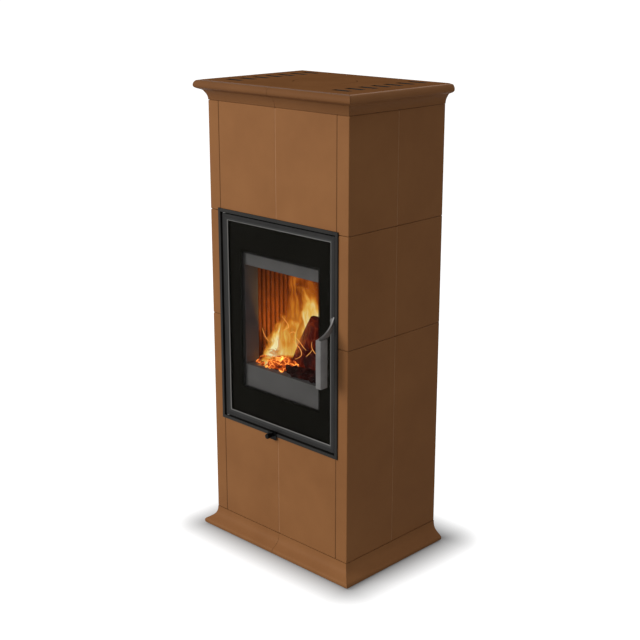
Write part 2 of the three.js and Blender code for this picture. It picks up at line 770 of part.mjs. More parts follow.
// The shell is welded from three boxes: ash box with legs, firebox, and smoke chamber.
function buildShell(stove, { mouth, ashMouth, past }) {
  const shellY = [shellFrontY, shellBack];
  const insideY = [shellInnerFront, shellInnerBack];
  const frontWall = past([shellFrontY, shellInnerFront]);
  const ashBoxTop = fireboxBottom - seatGap;
  const ashBox = cut(
    block(both(shellX), shellY, [shellBottom, ashBoxTop]),
    block(both(shellInnerX), insideY, [shellBottom + shellWall, ashBoxTop + 1]),
    ashMouth(frontWall),
    ...airHoles(past([shellBottom, shellBottom + shellWall]), airX + airTravel),
  );
  const legs = [-1, 1].flatMap((sx) => [
    leg([sx * shellX, -sx], [frontLegY, 1]),
    leg([sx * shellX, -sx], [shellBack, -1]),
  ]);
  const ledges = sides.map(({ sign }) => drawerLedge(sign));
  add(stove, 'ash_box', join(ashBox, ...legs, ...ledges), finishes.shellSteel);

  const seatX = grateWidth / 2 - grateLedge;
  const seatY = grateDepth / 2 - grateLedge;
  const chamberInside = [chamberFront + shellWall, shellInnerBack];
  const firebox = cut(
    block(both(shellX), shellY, [fireboxBottom, shellTop]),
    block(both(shellInnerX), insideY, [hearthSeat, shellTop - shellWall]),
    block(both(seatX), [grateY - seatY, grateY + seatY], past([fireboxBottom, hearthSeat])),
    block(both(chamberX - shellWall), chamberInside, past([shellTop - shellWall, shellTop])),
    mouth(throatWall + seatGap, frontWall),
  );
  add(stove, 'firebox_shell', firebox, finishes.shellSteel);

  const chamber = cut(
    block(both(chamberX), [chamberFront, shellBack], [shellTop + seatGap, chamberTop]),
    block(both(chamberX - shellWall), chamberInside, [shellTop, chamberTop - shellWall]),
    rodY(flueRadius - flueWall, past([shellInnerBack, shellBack]), 0, flueHeight, 48),
    rodZ(outletRadius, past([chamberTop - shellWall, chamberTop]), 0, 0, 48),
  );
  add(stove, 'smoke_chamber', chamber, finishes.shellSteel);
}

function airHoles(z, x) {
  const middle = frontY + tileDepth + shutterDepth / 2;
  return Array.from({ length: airHoleCount }, (_, i) => {
    const cx = x + (i - (airHoleCount - 1) / 2) * airHolePitch;
    return block([cx - airHoleWidth / 2, cx + airHoleWidth / 2],
      [middle - airHoleDepth / 2, middle + airHoleDepth / 2], z);
  });
}

function buildHearth(stove) {
  const hearthX = both(shellInnerX - slideClearance);
  const hearthY = [throatEndY + seatGap, shellInnerBack - seatGap];
  const grateHole = block(both(grateWidth / 2 + slideClearance),
    [grateY - grateDepth / 2 - slideClearance, grateY + grateDepth / 2 + slideClearance],
    [hearthSeat, mouthBottom + 1]);
  const hearth = cut(block(hearthX, hearthY, [hearthSeat + seatGap, mouthBottom]), grateHole);
  add(stove, 'hearth_brick', hearth, finishes.brick);

  const innerX = grateWidth / 2 - grateRim;
  const innerY = grateDepth / 2 - grateRim;
  const barPitch = (innerX * 2) / grateBars;
  const gap = barPitch * 0.5;
  const slots = Array.from({ length: grateBars }, (_, i) => {
    const x = -innerX + barPitch * (i + 0.5);
    return block([x - gap / 2, x + gap / 2], [grateY - innerY, grateY + innerY],
      [mouthBottom - grateThickness - 1, mouthBottom + 1]);
  });
  const grate = cut(
    block(both(grateWidth / 2), [grateY - grateDepth / 2, grateY + grateDepth / 2],
      [hearthSeat + seatGap, mouthBottom]),
    block(both(innerX), [grateY - innerY, grateY + innerY], [hearthSeat, mouthBottom - grateThickness]),
    ...slots,
  );
  add(stove, 'fire_grate', grate, finishes.castIron);
}

// A fluted lining standing on the hearth: [along, out] points, flutes on the side towards the fire.
function flutedPlan(length) {
  const flutes = Math.floor(length / (fluteRadius * 2));
  const margin = (length - flutes * fluteRadius * 2) / 2;
  const face = Array.from({ length: flutes }, (_, i) => {
    const middle = margin + fluteRadius * (2 * i + 1);
    return arc(middle, liningThickness - fluteDepth, fluteRadius * 0.94, fluteDepth, 180, 0, 6);
  });
  const base = liningThickness - fluteDepth;
  return [[0, 0], [0, base], ...face.flat(), [length, base], [length, 0]];
}

function buildLinings(stove) {
  const z = [mouthBottom + seatGap, liningTop];
  const sideFront = throatEndY + seatGap;
  const sideLength = liningBackY - seatGap - sideFront;
  const wallX = shellInnerX - seatGap;
  for (const { side, sign } of sides) {
    const plan = flutedPlan(sideLength).map(([along, out]) => [sign * (wallX - out), sideFront + along]);
    add(stove, `lining_${side}`, prismZ(plan, z), finishes.brick);
  }
  const wallY = shellInnerBack - seatGap;
  const backPlan = flutedPlan(wallX * 2).map(([along, out]) => [along - wallX, wallY - out]);
  add(stove, 'lining_back', prismZ(backPlan, z), finishes.brick);
}

function buildFlue(stove) {
  const flangeY = shellBack + seatGap;
  const bore = flueRadius - flueWall;
  const outline = [
    [bore, flangeY],
    [flueRadius + flueFlange, flangeY],
    [flueRadius + flueFlange, flangeY + outletCapSheet],
    [flueRadius, flangeY + outletCapSheet],
    [flueRadius, flangeY + flueLength],
    [bore, flangeY + flueLength],
    [bore, flangeY],
  ];
  add(stove, 'flue_collar', turnedY(outline, 48).translate(0, 0, flueHeight), finishes.shellSteel);

  const top = chamberTop + seatGap;
  const capRadius = outletRadius - slideClearance;
  const cap = cut(
    join(
      rodZ(outletRadius + outletCapRim, [top, top + outletCapSheet], 0, 0, 48),
      rodZ(capRadius, [top - outletCapHeight, top + 1], 0, 0, 48),
    ),
    rodZ(capRadius - outletCapSheet, [top - outletCapHeight - 1, top], 0, 0, 48),
  );
  add(stove, 'top_outlet_cap', cap, finishes.shellSteel);
}

// ---------------------------------------------------------------------------------------------
// Ash drawer
// ---------------------------------------------------------------------------------------------

function buildAshDrawer(stove) {
  const panelX = ashMouthX - slideClearance;
  const bottom = ledgeTop + seatGap;
  const top = ashMouthTop - slideClearance;
  const frontFace = frontY + sealSeat + seatGap;
  const trayX = panelX - drawerSheet;
  const trayTop = top - slideClearance * 4;
  const trayY = [frontFace + drawerFront - 1, frontFace + drawerFront + drawerLength];
  const pullFront = frontFace - drawerPullReach;
  const pullTop = top - drawerPullDrop;
  const tray = join(
    block(both(panelX), [frontFace, frontFace + drawerFront], [bottom, top]),
    block(both(trayX), trayY, [bottom, trayTop]),
    block(both(drawerPullWidth / 2), [pullFront, frontFace + 1], [pullTop - drawerPullSheet, pullTop]),
    block(both(drawerPullWidth / 2), [pullFront, pullFront + drawerPullSheet],
      [pullTop - drawerPullLip, pullTop - 1]),
  );
  const inside = block(both(trayX - drawerSheet),
    [frontFace + drawerFront, trayY[1] - drawerSheet], [bottom + drawerSheet, trayTop + 1]);
  add(stove, 'ash_drawer', cut(tray, inside), finishes.shellSteel);
}

// ---------------------------------------------------------------------------------------------
// Door surround and door, in a frame at the tiled face, level with the middle of the door
// ---------------------------------------------------------------------------------------------

function buildSurround(front) {
  const flangeEnd = sleeveInset + surroundWall;
  const profile = [
    [0, -seatGap],
    [0, -surroundProud + surroundChamfer],
    [surroundChamfer, -surroundProud],
    [flangeEnd - surroundChamfer / 2, -surroundProud],
    [flangeEnd, -surroundProud + surroundChamfer / 2],
    [flangeEnd, plateBackY],
    [sleeveInset, plateBackY],
    [sleeveInset, -seatGap],
  ];
  const ring = rectangularFrame(profile, surroundX, surroundZ);
  const reach = sleeveZ + surroundWall + 1;
  const holes = [[-reach, -sleeveZ + 1], [sleeveZ - 1, reach]].map((z) =>
    rodZ(hingePinRadius + seatGap, z, -doorX + hingeInset, hingeInset));
  add(front, 'door_surround', cut(ring, ...holes), finishes.darkSteel);

  add(front, 'hinge_pin_upper', hingePin(1), finishes.handleSteel);
  add(front, 'hinge_pin_lower', hingePin(-1), finishes.handleSteel);
}

// A hinge pin at the top or bottom: a shank through the surround into the door, with a collar
// between them.
function hingePin(end) {
  const span = (z0, z1) => [end * z0, end * z1].sort((a, b) => a - b);
  const shank = span(doorHalfZ - hingePinDepth + slideClearance, sleeveZ + surroundWall - seatGap);
  const collar = span(doorHalfZ + seatGap, sleeveZ - seatGap);
  const [x, y] = [-doorX + hingeInset, hingeInset];
  return join(rodZ(hingePinRadius, shank, x, y), rodZ(hingeCollarRadius, collar, x, y));
}

function buildDoor(front) {
  const profile = [
    [0, doorThickness],
    [0, surroundChamfer],
    [surroundChamfer, 0],
    [doorLip - doorBevel, 0],
    [doorLip, doorLipThickness - doorBevelEdge],
    [doorLip, doorLipThickness],
    [glassEdge - seatGap, doorLipThickness],
    [glassEdge - seatGap, doorThickness],
  ];
  const ring = rectangularFrame(profile, doorX, doorHalfZ);
  const pinEnd = doorHalfZ - hingePinDepth;
  const pinHoles = [[-doorHalfZ - 1, -pinEnd], [pinEnd, doorHalfZ + 1]].map((z) =>
    rodZ(hingePinRadius + seatGap, z, -doorX + hingeInset, hingeInset));
  const spindleHole = rodY(spindleRadius + seatGap, [-1, doorThickness + 1], doorX - handleInset, handleRise);
  add(front, 'door_frame', cut(ring, spindleHole, ...pinHoles), finishes.rimSteel);

  const glass = block(both(doorX - glassEdge), [glassY, glassBackY], both(doorHalfZ - glassEdge));
  add(front, 'door_glass', glass, finishes.glass);

  const sealY = [glassBackY + seatGap, sealSeat - seatGap];
  const sealMiddle = (sealY[0] + sealY[1]) / 2;
  const halfFace = 180 / sealSides;
  const sealProfile = arc(sealInset, sealMiddle, sealWidth / 2, (sealY[1] - sealY[0]) / 2,
    halfFace, 360 - halfFace, sealSides - 1);
  add(front, 'door_seal', rectangularFrame(sealProfile, doorX, doorHalfZ), finishes.rope);

  const footY = doorThickness + seatGap;
  const lipY = glassBackY + seatGap;
  const lipOuter = glassEdge + seatGap * 2;
  const lipInner = sealInset - sealWidth / 2 - slideClearance;
  const retainerProfile = [
    [retainerInset, footY],
    [lipOuter, footY],
    [lipOuter, lipY],
    [lipInner, lipY],
    [lipInner, footY + retainerSheet],
    [retainerInset, footY + retainerSheet],
  ];
  const retainer = rectangularFrame(retainerProfile, doorX, doorHalfZ);
  const bossHole = rodY(camRadius + slideClearance, [lipY, footY + retainerSheet + 1],
    doorX - handleInset, handleRise);
  add(front, 'glass_retainer', cut(retainer, bossHole), finishes.zinc);
}

// ---------------------------------------------------------------------------------------------
// Handle and latch, in a frame at the spindle where it leaves the door
// ---------------------------------------------------------------------------------------------

function buildHandle(handle) {
  const camStart = plateBackY + keeperSheet + seatGap * 2;
  const camY = [camStart, camStart + camThickness];
  const bossEnd = -bossHeight;
  const spindle = join(
    rodY(spindleRadius, [bossEnd + 2, camY[1]], 0, 0),
    rodY(camRadius, camY, 0, 0),
    rodY(camRadius, camY, camLength - camRadius, 0),
    block([0, camLength - camRadius], camY, both(camRadius)),
  );
  add(handle, 'latch_spindle', spindle, finishes.handleSteel);

  const gripTop = -gripDrop;
  const gripBackY = -gripStandoff;
  const gripFrontY = gripBackY - gripDepth;
  const tipZ = bossRadius + 4.5;
  const armFoot = gripTop + seatGap;
  const outline = [
    ...curve([-2.5, tipZ], [-11, -10], [-24, gripTop + 12], [gripFrontY + 1, armFoot + 3], 10),
    [gripFrontY + 1, armFoot],
    [gripBackY, armFoot],
    ...curve([gripBackY + 8, armFoot], [-16, armFoot + 4], [-9, -26], [-armStep, -bossRadius], 8),
    [-seatGap * 2, -bossRadius + 2],
    [-seatGap * 2, tipZ - 1.5],
  ];
  const armX = [armOffset - armThickness / 2, armOffset + armThickness / 2];
  const tangY = gripBackY - gripDepth / 2;
  const arm = cut(
    join(
      prismX(outline, armX),
      rodY(bossRadius, [bossEnd, -seatGap], 0, 0),
      rodZ(tangRadius, [armFoot - tangLength, armFoot + 2], armOffset, tangY, 16),
    ),
    rodY(spindleRadius + seatGap, [bossEnd + 2 - seatGap, 0], 0, 0),
  );
  add(handle, 'handle_arm', arm, finishes.handleSteel);

  const edge = gripEdge;
  const gripPlan = (inset) => {
    const [hx, hy] = [gripWidth / 2 - inset, gripDepth / 2 - inset];
    return [
      ...arc(hx - edge, hy - edge, edge, edge, 0, 90, 2),
      ...arc(-hx + edge, hy - edge, edge, edge, 90, 180, 2),
      ...arc(-hx + edge, -hy + edge, edge, edge, 180, 270, 2),
      ...arc(hx - edge, -hy + edge, edge, edge, 270, 360, 2),
    ];
  };
  const stations = [[1, -gripLength], [0, -gripLength + 1], [0, -1], [1, 0]];
  const rings = stations.map(([inset, z]) =>
    gripPlan(inset).map(([x, y]) => v3(armOffset + x, tangY + y, gripTop + z)));
  const tangHole = rodZ(tangRadius + seatGap, [gripTop - tangLength - 1, gripTop + 1], armOffset, tangY, 16);
  add(handle, 'handle_grip', cut(loft(rings), tangHole), finishes.handleSteel);
}

// ---------------------------------------------------------------------------------------------
// Air control, in a frame at the tiled face where the tongue passes under the door
// ---------------------------------------------------------------------------------------------

function buildAirControl(air) {
  const tabY = [-surroundProud - seatGap - airSheet, -surroundProud - seatGap];
  const tongueEnd = tileDepth + 1;
  const slider = cut(
    join(
      block(both(airTabWidth / 2), tabY, [-airTabDrop, airSheet]),
      block(both(airTongueWidth / 2), [tabY[0], tongueEnd], [0, airSheet]),
      block(both(shutterWidth / 2), [tileDepth, tileDepth + shutterDepth], [0, airSheet]),
    ),
    rodY(knobStemRadius + seatGap, [tabY[0] - 1, tabY[1] + 1], 0, -knobDrop, 16),
    ...airHoles([-1, airSheet + 1], 0).map((hole) => hole.translate(0, -frontY, 0)),
  );
  add(air, 'air_slider', slider, finishes.darkSteel);

  const base = tabY[0] - seatGap;
  const tip = base - knobLength;
  const profile = [
    [0, tip],
    ...arc(knobRadius - 3, tip + 3, 3, 3, -90, 0, 4),
    [knobRadius, tip + knobLength * 0.45],
    [knobRadius * 0.72, base - 3],
    [knobRadius * 0.78, base],
    [knobStemRadius, base],
    [knobStemRadius, tabY[1] - seatGap],
    [0, tabY[1] - seatGap],
  ];
  add(air, 'air_knob', turnedY(profile, 28).translate(0, 0, -knobDrop), finishes.blackKnob);
}

// ---------------------------------------------------------------------------------------------
// Firewood
// ---------------------------------------------------------------------------------------------

// A split log along X: an uneven round with one flat, cleft side, narrowing slightly to its ends.
function log(radius, length, cleft) {
  const sidesOfLog = 18;
  const stations = 7;
  const rings = Array.from({ length: stations }, (_, s) => {
    const t = s / (stations - 1);
    const swell = 1 - 0.08 * (2 * t - 1) ** 2;
    return Array.from({ length: sidesOfLog }, (_, i) => {
      const angle = (i / sidesOfLog) * Math.PI * 2;
      const wave = 1 - 0.05 * (1 - Math.cos(3 * angle + 2 * t)) - 0.03 * (1 - Math.cos(5 * angle - t));
      const round = radius * swell * wave;
      const y = round * Math.cos(angle);
      const z = Math.min(round * Math.sin(angle), radius * cleft);
      return v3((t - 0.5) * length, y, z);
    });
  });
  return loft(rings);
}

const restSteps = 14;

function placedSolid(mesh) {
  mesh.updateMatrix();
  return toSolid(mesh.geometry.clone().applyMatrix4(mesh.matrix));
}

// Lowers a mesh between two heights until it would touch one of the solids below it.
function restOn(mesh, supports, [low, high]) {
  let [touching, free] = [low, high];
  for (let i = 0; i < restSteps; i++) {
    mesh.position.z = (touching + free) / 2;
    const solid = placedSolid(mesh);
    const clear = supports.every((support) => solid.intersect(support).volume() === 0);
    [touching, free] = clear ? [touching, mesh.position.z] : [mesh.position.z, free];
  }
  mesh.position.z = free + seatGap;
}

function buildFirewood(stove) {
  const reach = [shellInnerFront, shellInnerBack];
  const pile = [toSolid(block(both(shellInnerX), reach, [hearthSeat, mouthBottom]))];
  for (const [name, { radius, length, cleft, x, y, turn, lean }] of Object.entries(logs)) {
    const piece = add(stove, name, log(radius, length, cleft), finishes.charredWood);
    piece.rotation.set(0, -lean, turn, 'ZYX');
    piece.position.set(x, y, mouthBottom);
    restOn(piece, pile, [mouthBottom, mouthBottom + radius * 8]);
    pile.push(placedSolid(piece));
  }
}

// ---------------------------------------------------------------------------------------------
// Assembly
// ---------------------------------------------------------------------------------------------

const stove = new THREE.Group();
buildTiles(stove);
buildMouldings(stove);
buildTop(stove);
buildCarcass(stove);
buildFirebox(stove);
buildAshDrawer(stove);
buildFirewood(stove);

const front = new THREE.Group();
front.position.set(0, frontY, doorZ);
buildSurround(front);
buildDoor(front);
stove.add(front);

const handle = new THREE.Group();
handle.position.set(doorX - handleInset, 0, handleRise);
buildHandle(handle);
front.add(handle);

const air = new THREE.Group();
air.position.set(airX, frontY, airTongueZ);
buildAirControl(air);
stove.add(air);

export default stove;
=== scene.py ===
# %% [markdown]
# # A tiled wood stove, dressed for its picture
# The solids of the stove come in as a fixed frame. A solid either gets a node material, or is
# replaced by a merged copy of itself with softened edges. The filler in the joints, the print
# on the glass, the fire and the screws are modelled here.

# %% Load the frame
import json
import math

import bpy
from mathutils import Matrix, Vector, noise


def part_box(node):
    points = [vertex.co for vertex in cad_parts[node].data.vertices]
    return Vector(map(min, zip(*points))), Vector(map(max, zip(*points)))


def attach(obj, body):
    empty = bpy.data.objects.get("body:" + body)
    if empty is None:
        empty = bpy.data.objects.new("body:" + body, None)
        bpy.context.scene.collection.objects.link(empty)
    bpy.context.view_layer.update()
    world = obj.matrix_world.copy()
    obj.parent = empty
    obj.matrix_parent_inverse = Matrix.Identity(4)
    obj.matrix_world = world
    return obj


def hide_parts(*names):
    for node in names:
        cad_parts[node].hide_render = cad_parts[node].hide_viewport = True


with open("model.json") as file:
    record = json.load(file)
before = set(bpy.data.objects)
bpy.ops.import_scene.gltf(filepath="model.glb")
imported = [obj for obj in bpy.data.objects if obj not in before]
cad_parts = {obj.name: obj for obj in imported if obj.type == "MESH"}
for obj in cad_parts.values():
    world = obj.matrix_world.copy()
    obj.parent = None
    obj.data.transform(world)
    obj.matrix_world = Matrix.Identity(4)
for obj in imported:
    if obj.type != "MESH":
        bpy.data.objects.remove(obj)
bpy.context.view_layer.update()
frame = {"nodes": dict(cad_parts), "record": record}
nodes = frame["nodes"]
bodies = frame["record"]["behaviour"]["bodies"]
body_of = {node: body for body, members in bodies.items() for node in members}
slot_of = {part["node"]: part["material_slot"] for part in frame["record"]["subparts"]}
bpy.ops.object.select_all(action="DESELECT")

# %% [markdown]
# ## Camera
# The camera stands where the photograph was taken from: to the right of the stove, a little
# above its top, looking down. It could be placed by eye, but its place, turn and focal length
# were fitted to the corners of the stove, so the render nearly lies over the photograph. A
# small shift puts the stove in the middle of the frame.

# %% Camera
FRAME_PIXELS = 640
FOCAL_PIXELS = 1208.4
SENSOR = 36.0
CAMERA_PLACE = (2.3319, -2.4159, 1.6762)
LOOK_DOWN = 15.94
TURN = 44.225
LENS_SHIFT = -0.025
FARTHEST = 300

camera_data = bpy.data.cameras.new("camera")
camera = bpy.data.objects.new("camera", camera_data)
bpy.context.scene.collection.objects.link(camera)
camera.location = CAMERA_PLACE
camera.rotation_euler = (math.radians(90 - LOOK_DOWN), 0, math.radians(TURN))
camera_data.sensor_width = SENSOR
camera_data.lens = FOCAL_PIXELS / FRAME_PIXELS * SENSOR
camera_data.shift_y = LENS_SHIFT
camera_data.clip_end = FARTHEST
bpy.context.scene.camera = camera
print("lens", round(camera_data.lens, 2), "mm")

# %% [markdown]
# ## Helpers for node graphs
# A material is a graph of small nodes. Each node could be added and linked line by line, but
# the same few steps come back in every finish, so they are named once here: add a node with
# its values, do a sum, stretch a range, and make a ramp between two tones.


# %% Nodes and their values
def new_tree(material):
    material.use_nodes = True
    material.node_tree.nodes.clear()
    return material.node_tree


def add_node(tree, kind, **values):
    node = tree.nodes.new(kind)
    for key, value in values.items():
        if hasattr(node, key):
            setattr(node, key, value)
        else:
            node.inputs[key.replace("_", " ")].default_value = value
    return node


def find_node(tree, kind):
    return next(node for node in tree.nodes if node.type == kind)


def object_place(tree):
    return add_node(tree, "ShaderNodeTexCoord").outputs["Object"]


# %% Sums, ranges and tones
def fill_sockets(tree, sockets, values):
    for socket, value in zip(sockets, values):
        if isinstance(value, bpy.types.NodeSocket):
            tree.links.new(value, socket)
        else:
            socket.default_value = value


def calc(tree, operation, *values):
    node = add_node(tree, "ShaderNodeMath", operation=operation)
    fill_sockets(tree, node.inputs, values)
    return node.outputs[0]


def vector_calc(tree, operation, *values):
    node = add_node(tree, "ShaderNodeVectorMath", operation=operation)
    fill_sockets(tree, node.inputs, values)
    return node.outputs[0]


def ranged(tree, value, low, high, to_low, to_high):
    node = add_node(tree, "ShaderNodeMapRange", From_Min=low, From_Max=high, To_Min=to_low,
                    To_Max=to_high)
    tree.links.new(value, node.inputs["Value"])
    return node.outputs["Result"]


def two_tones(tree, dark, light, start=0.0, end=1.0):
    ramp = add_node(tree, "ShaderNodeValToRGB")
    first, last = ramp.color_ramp.elements
    first.position = start
    first.color = (*dark, 1)
    last.position = end
    last.color = (*light, 1)
    return ramp


# %% [markdown]
# ## Sky and key lamp
# A large soft lamp in front and to the left lights the front tiles, and a pale sky lights
# the shaded side. More light would also turn the background white, but it would bleach the
# tiles. So only camera, mirror and glass rays see the sky as plain white.


# %% Rays that see the background
def seen_directly(tree):
    rays = add_node(tree, "ShaderNodeLightPath").outputs
    mirrored = calc(tree, "MAXIMUM", rays["Is Camera Ray"], rays["Is Glossy Ray"])
    return calc(tree, "MAXIMUM", mirrored, rays["Is Transmission Ray"])


# %% Sky
AMBIENT = 0.48

world = bpy.data.worlds.new("studio")
bpy.context.scene.world = world
tree = new_tree(world)
sky = add_node(tree, "ShaderNodeBackground", Color=(1, 1, 1, 1))
output = add_node(tree, "ShaderNodeOutputWorld")
tree.links.new(ranged(tree, seen_directly(tree), 0, 1, AMBIENT, 1), sky.inputs["Strength"])
tree.links.new(sky.outputs[0], output.inputs["Surface"])
print("sky", AMBIENT, "for the stove, 1 for the camera")


# %% Key lamp
def soft_lamp(name, place, target, size, watts, color=(1, 1, 1)):
    data = bpy.data.lights.new(name, "AREA")
    data.size = size
    data.energy = watts
    data.color = color
    lamp = bpy.data.objects.new(name, data)
    bpy.context.scene.collection.objects.link(lamp)
    lamp.location = place
    lamp.rotation_euler = (Vector(target) - Vector(place)).to_track_quat("-Z", "Y").to_euler()
    return lamp


key_lamp = soft_lamp("key_lamp", place=(-2.4, -4.9, 2.6), target=(0, 0, 0.45), size=3.4, watts=250)
print("key lamp", key_lamp.data.energy, "W")

# %% [markdown]
# ## Floor
# The floor of the photograph is white, with a soft shadow at the foot of the stove. A white
# floor would lose that shadow, because it clips. So the floor is grey, and a glow makes it
# white: faint beside the plinth, and full some ten centimetres away from it. The weak glow
# next to the plinth is a painted shadow, added to the shadow that the lamps cast. The plinth's
# foot reaches a little beyond the rectangle that the distance is measured from.

# %% Floor
FLOOR_SIZE = 160
FLOOR_DROP = 0.0005
FLOOR_GREY = (0.36, 0.36, 0.36, 1)
FLOOR_GLOW = 0.92
GLOW_START, GLOW_FULL = -0.004, 0.120
BASE_HALF = (0.285, 0.205)

bpy.ops.mesh.primitive_plane_add(size=FLOOR_SIZE, location=(0, 0, -FLOOR_DROP))
floor = bpy.context.object
floor.name = "floor"
floor_material = bpy.data.materials.new("pale_floor")
tree = new_tree(floor_material)
beyond = vector_calc(tree, "SUBTRACT", vector_calc(tree, "ABSOLUTE", object_place(tree)),
                     (*BASE_HALF, 0))
distance = add_node(tree, "ShaderNodeVectorMath", operation="LENGTH")
tree.links.new(vector_calc(tree, "MAXIMUM", beyond, (0, 0, 0)), distance.inputs[0])
# The glow is weak near the plinth and grows with distance: a painted shadow at its foot.
glow_past_painted_shadow = ranged(tree, distance.outputs["Value"], GLOW_START, GLOW_FULL, 0, FLOOR_GLOW)
matt = add_node(tree, "ShaderNodeBsdfDiffuse", Color=FLOOR_GREY)
glow = add_node(tree, "ShaderNodeEmission")
both = add_node(tree, "ShaderNodeAddShader")
output = add_node(tree, "ShaderNodeOutputMaterial")
tree.links.new(calc(tree, "MULTIPLY", seen_directly(tree), glow_past_painted_shadow), glow.inputs["Strength"])
tree.links.new(matt.outputs[0], both.inputs[0])
tree.links.new(glow.outputs[0], both.inputs[1])
tree.links.new(both.outputs[0], output.inputs["Surface"])
floor.data.materials.append(floor_material)
bpy.context.scene.view_settings.view_transform = "Standard"
print("floor", FLOOR_SIZE, "m wide")

# %% [markdown]
# ## Finishes
# Every plain finish starts from the same small recipe: a colour that drifts a little between
# two tones, a roughness that drifts with it, and a fine bump. A single flat colour would be
# quicker, but it looks like plastic. `scale` says how closely the clouds of colour lie,
# `grain` does the same for the bump, and `roughness` gives its least and its most.

# %% One recipe for the plain finishes
TONE_START, TONE_END = 0.3, 0.7
GRAIN_HEIGHT = 0.001


def finish(name, dark, light, scale, roughness, bump, grain, metallic=0.0, specular=0.5):
    material = bpy.data.materials.new(name)
    tree = new_tree(material)
    place = object_place(tree)
    drift = add_node(tree, "ShaderNodeTexNoise", Scale=scale, Detail=4.0, Roughness=0.55)
    fine = add_node(tree, "ShaderNodeTexNoise", Scale=grain, Detail=3.0)
    tone = two_tones(tree, dark, light, TONE_START, TONE_END)
    relief = add_node(tree, "ShaderNodeBump", Strength=bump, Distance=GRAIN_HEIGHT)
    shader = add_node(tree, "ShaderNodeBsdfPrincipled", Metallic=metallic)
    shader.inputs["Specular IOR Level"].default_value = specular
    output = add_node(tree, "ShaderNodeOutputMaterial")
    link = tree.links.new
    link(place, drift.inputs["Vector"])
    link(place, fine.inputs["Vector"])
    link(drift.outputs["Fac"], tone.inputs["Fac"])
    link(fine.outputs["Fac"], relief.inputs["Height"])
    link(tone.outputs["Color"], shader.inputs["Base Color"])
    link(ranged(tree, drift.outputs["Fac"], 0, 1, *roughness), shader.inputs["Roughness"])
    link(relief.outputs["Normal"], shader.inputs["Normal"])
    link(shader.outputs[0], output.inputs["Surface"])
    return material


# %% [markdown]
# The tiles and mouldings carry a brown glaze that was fired nearly matt, so it hardly mirrors
# anything. The front of the cornice is darker in the photograph than the tiles under it. Its
# copy of the glaze is darker, and that is painted shade. The steel top has an enamel of the
# same brown. All could share one material, but then their tones couldn't be set apart.

# %% Brown glazes and enamel
finishes = {}
finishes["glaze"] = finish(
    "brown_glaze", dark=(0.228, 0.096, 0.034), light=(0.270, 0.118, 0.043), scale=5,
    roughness=(0.48, 0.60), bump=0.10, grain=90, specular=0.05)
# A darker copy of the glaze for the cornice front: painted shade.
cornice_glaze_painted_shade = finish(
    "cornice_glaze_painted_shade", dark=(0.148, 0.061, 0.021), light=(0.176, 0.074, 0.026), scale=5,
    roughness=(0.48, 0.60), bump=0.10, grain=90, specular=0.05)
finishes["top_enamel"] = finish(
    "brown_enamel", dark=(0.200, 0.083, 0.030), light=(0.228, 0.097, 0.036), scale=9,
    roughness=(0.60, 0.75), bump=0.12, grain=600, specular=0.0)
print(finishes["glaze"].name, cornice_glaze_painted_shade.name, finishes["top_enamel"].name)

# %% [markdown]
# The door and its surround are steel with a black stove paint, which is dark, fine-grained
# and a little glossy. The front plate behind the glass is grey, its left jamb a lighter, bluer
# grey that is painted daylight, and the handle is bare metal. Paint is never quite even, so
# each drifts between two tones.

# %% Steel that shows from the front
finishes["dark_steel"] = finish(
    "dark_steel", dark=(0.010, 0.009, 0.008), light=(0.016, 0.015, 0.013), scale=14,
    roughness=(0.40, 0.55), bump=0.15, grain=900, specular=0.12)
finishes["rim_steel"] = finish(
    "rim_steel", dark=(0.010, 0.0095, 0.009), light=(0.016, 0.015, 0.014), scale=14,
    roughness=(0.40, 0.50), bump=0.15, grain=900, specular=0.12)
# The light tone of this steel is a painted highlight on the bevel.
bevel_steel_painted_highlight = finish(
    "bevel_steel_painted_highlight", dark=(0.012, 0.012, 0.011), light=(0.135, 0.130, 0.122), scale=14,
    roughness=(0.35, 0.45), bump=0.10, grain=900, specular=0.20)
finishes["plate_grey"] = finish(
    "plate_grey", dark=(0.104, 0.100, 0.096), light=(0.132, 0.127, 0.122), scale=16,
    roughness=(0.55, 0.7), bump=0.25, grain=700, specular=0.15)
# A lighter, bluer grey for the left jamb: painted daylight on it.
painted_light_jamb_grey = finish(
    "painted_light_jamb_grey", dark=(0.145, 0.165, 0.185), light=(0.180, 0.205, 0.230), scale=16,
    roughness=(0.55, 0.7), bump=0.25, grain=700, specular=0.10)
finishes["handle_steel"] = finish(
    "handle_steel", dark=(0.105, 0.101, 0.097), light=(0.150, 0.144, 0.139), scale=30,
    roughness=(0.38, 0.5), bump=0.12, grain=1000, metallic=0.35, specular=0.25)
finishes["black_knob"] = finish(
    "black_knob", dark=(0.003, 0.003, 0.003), light=(0.006, 0.006, 0.006), scale=20,
    roughness=(0.2, 0.3), bump=0.05, grain=800, specular=0.06)
print(len(finishes), "slots have a finish")

# %% [markdown]
# Inside and behind, the firebox is plain grey steel, the casings and backings are zinc sheet,
# the rear panel is powder-coated black and the grate is rough cast iron. The linings are
# fired brick and the seal is glass-fibre rope. Brick, iron and rope get a strong bump,
# because that looks as good here as modelling every grain would.

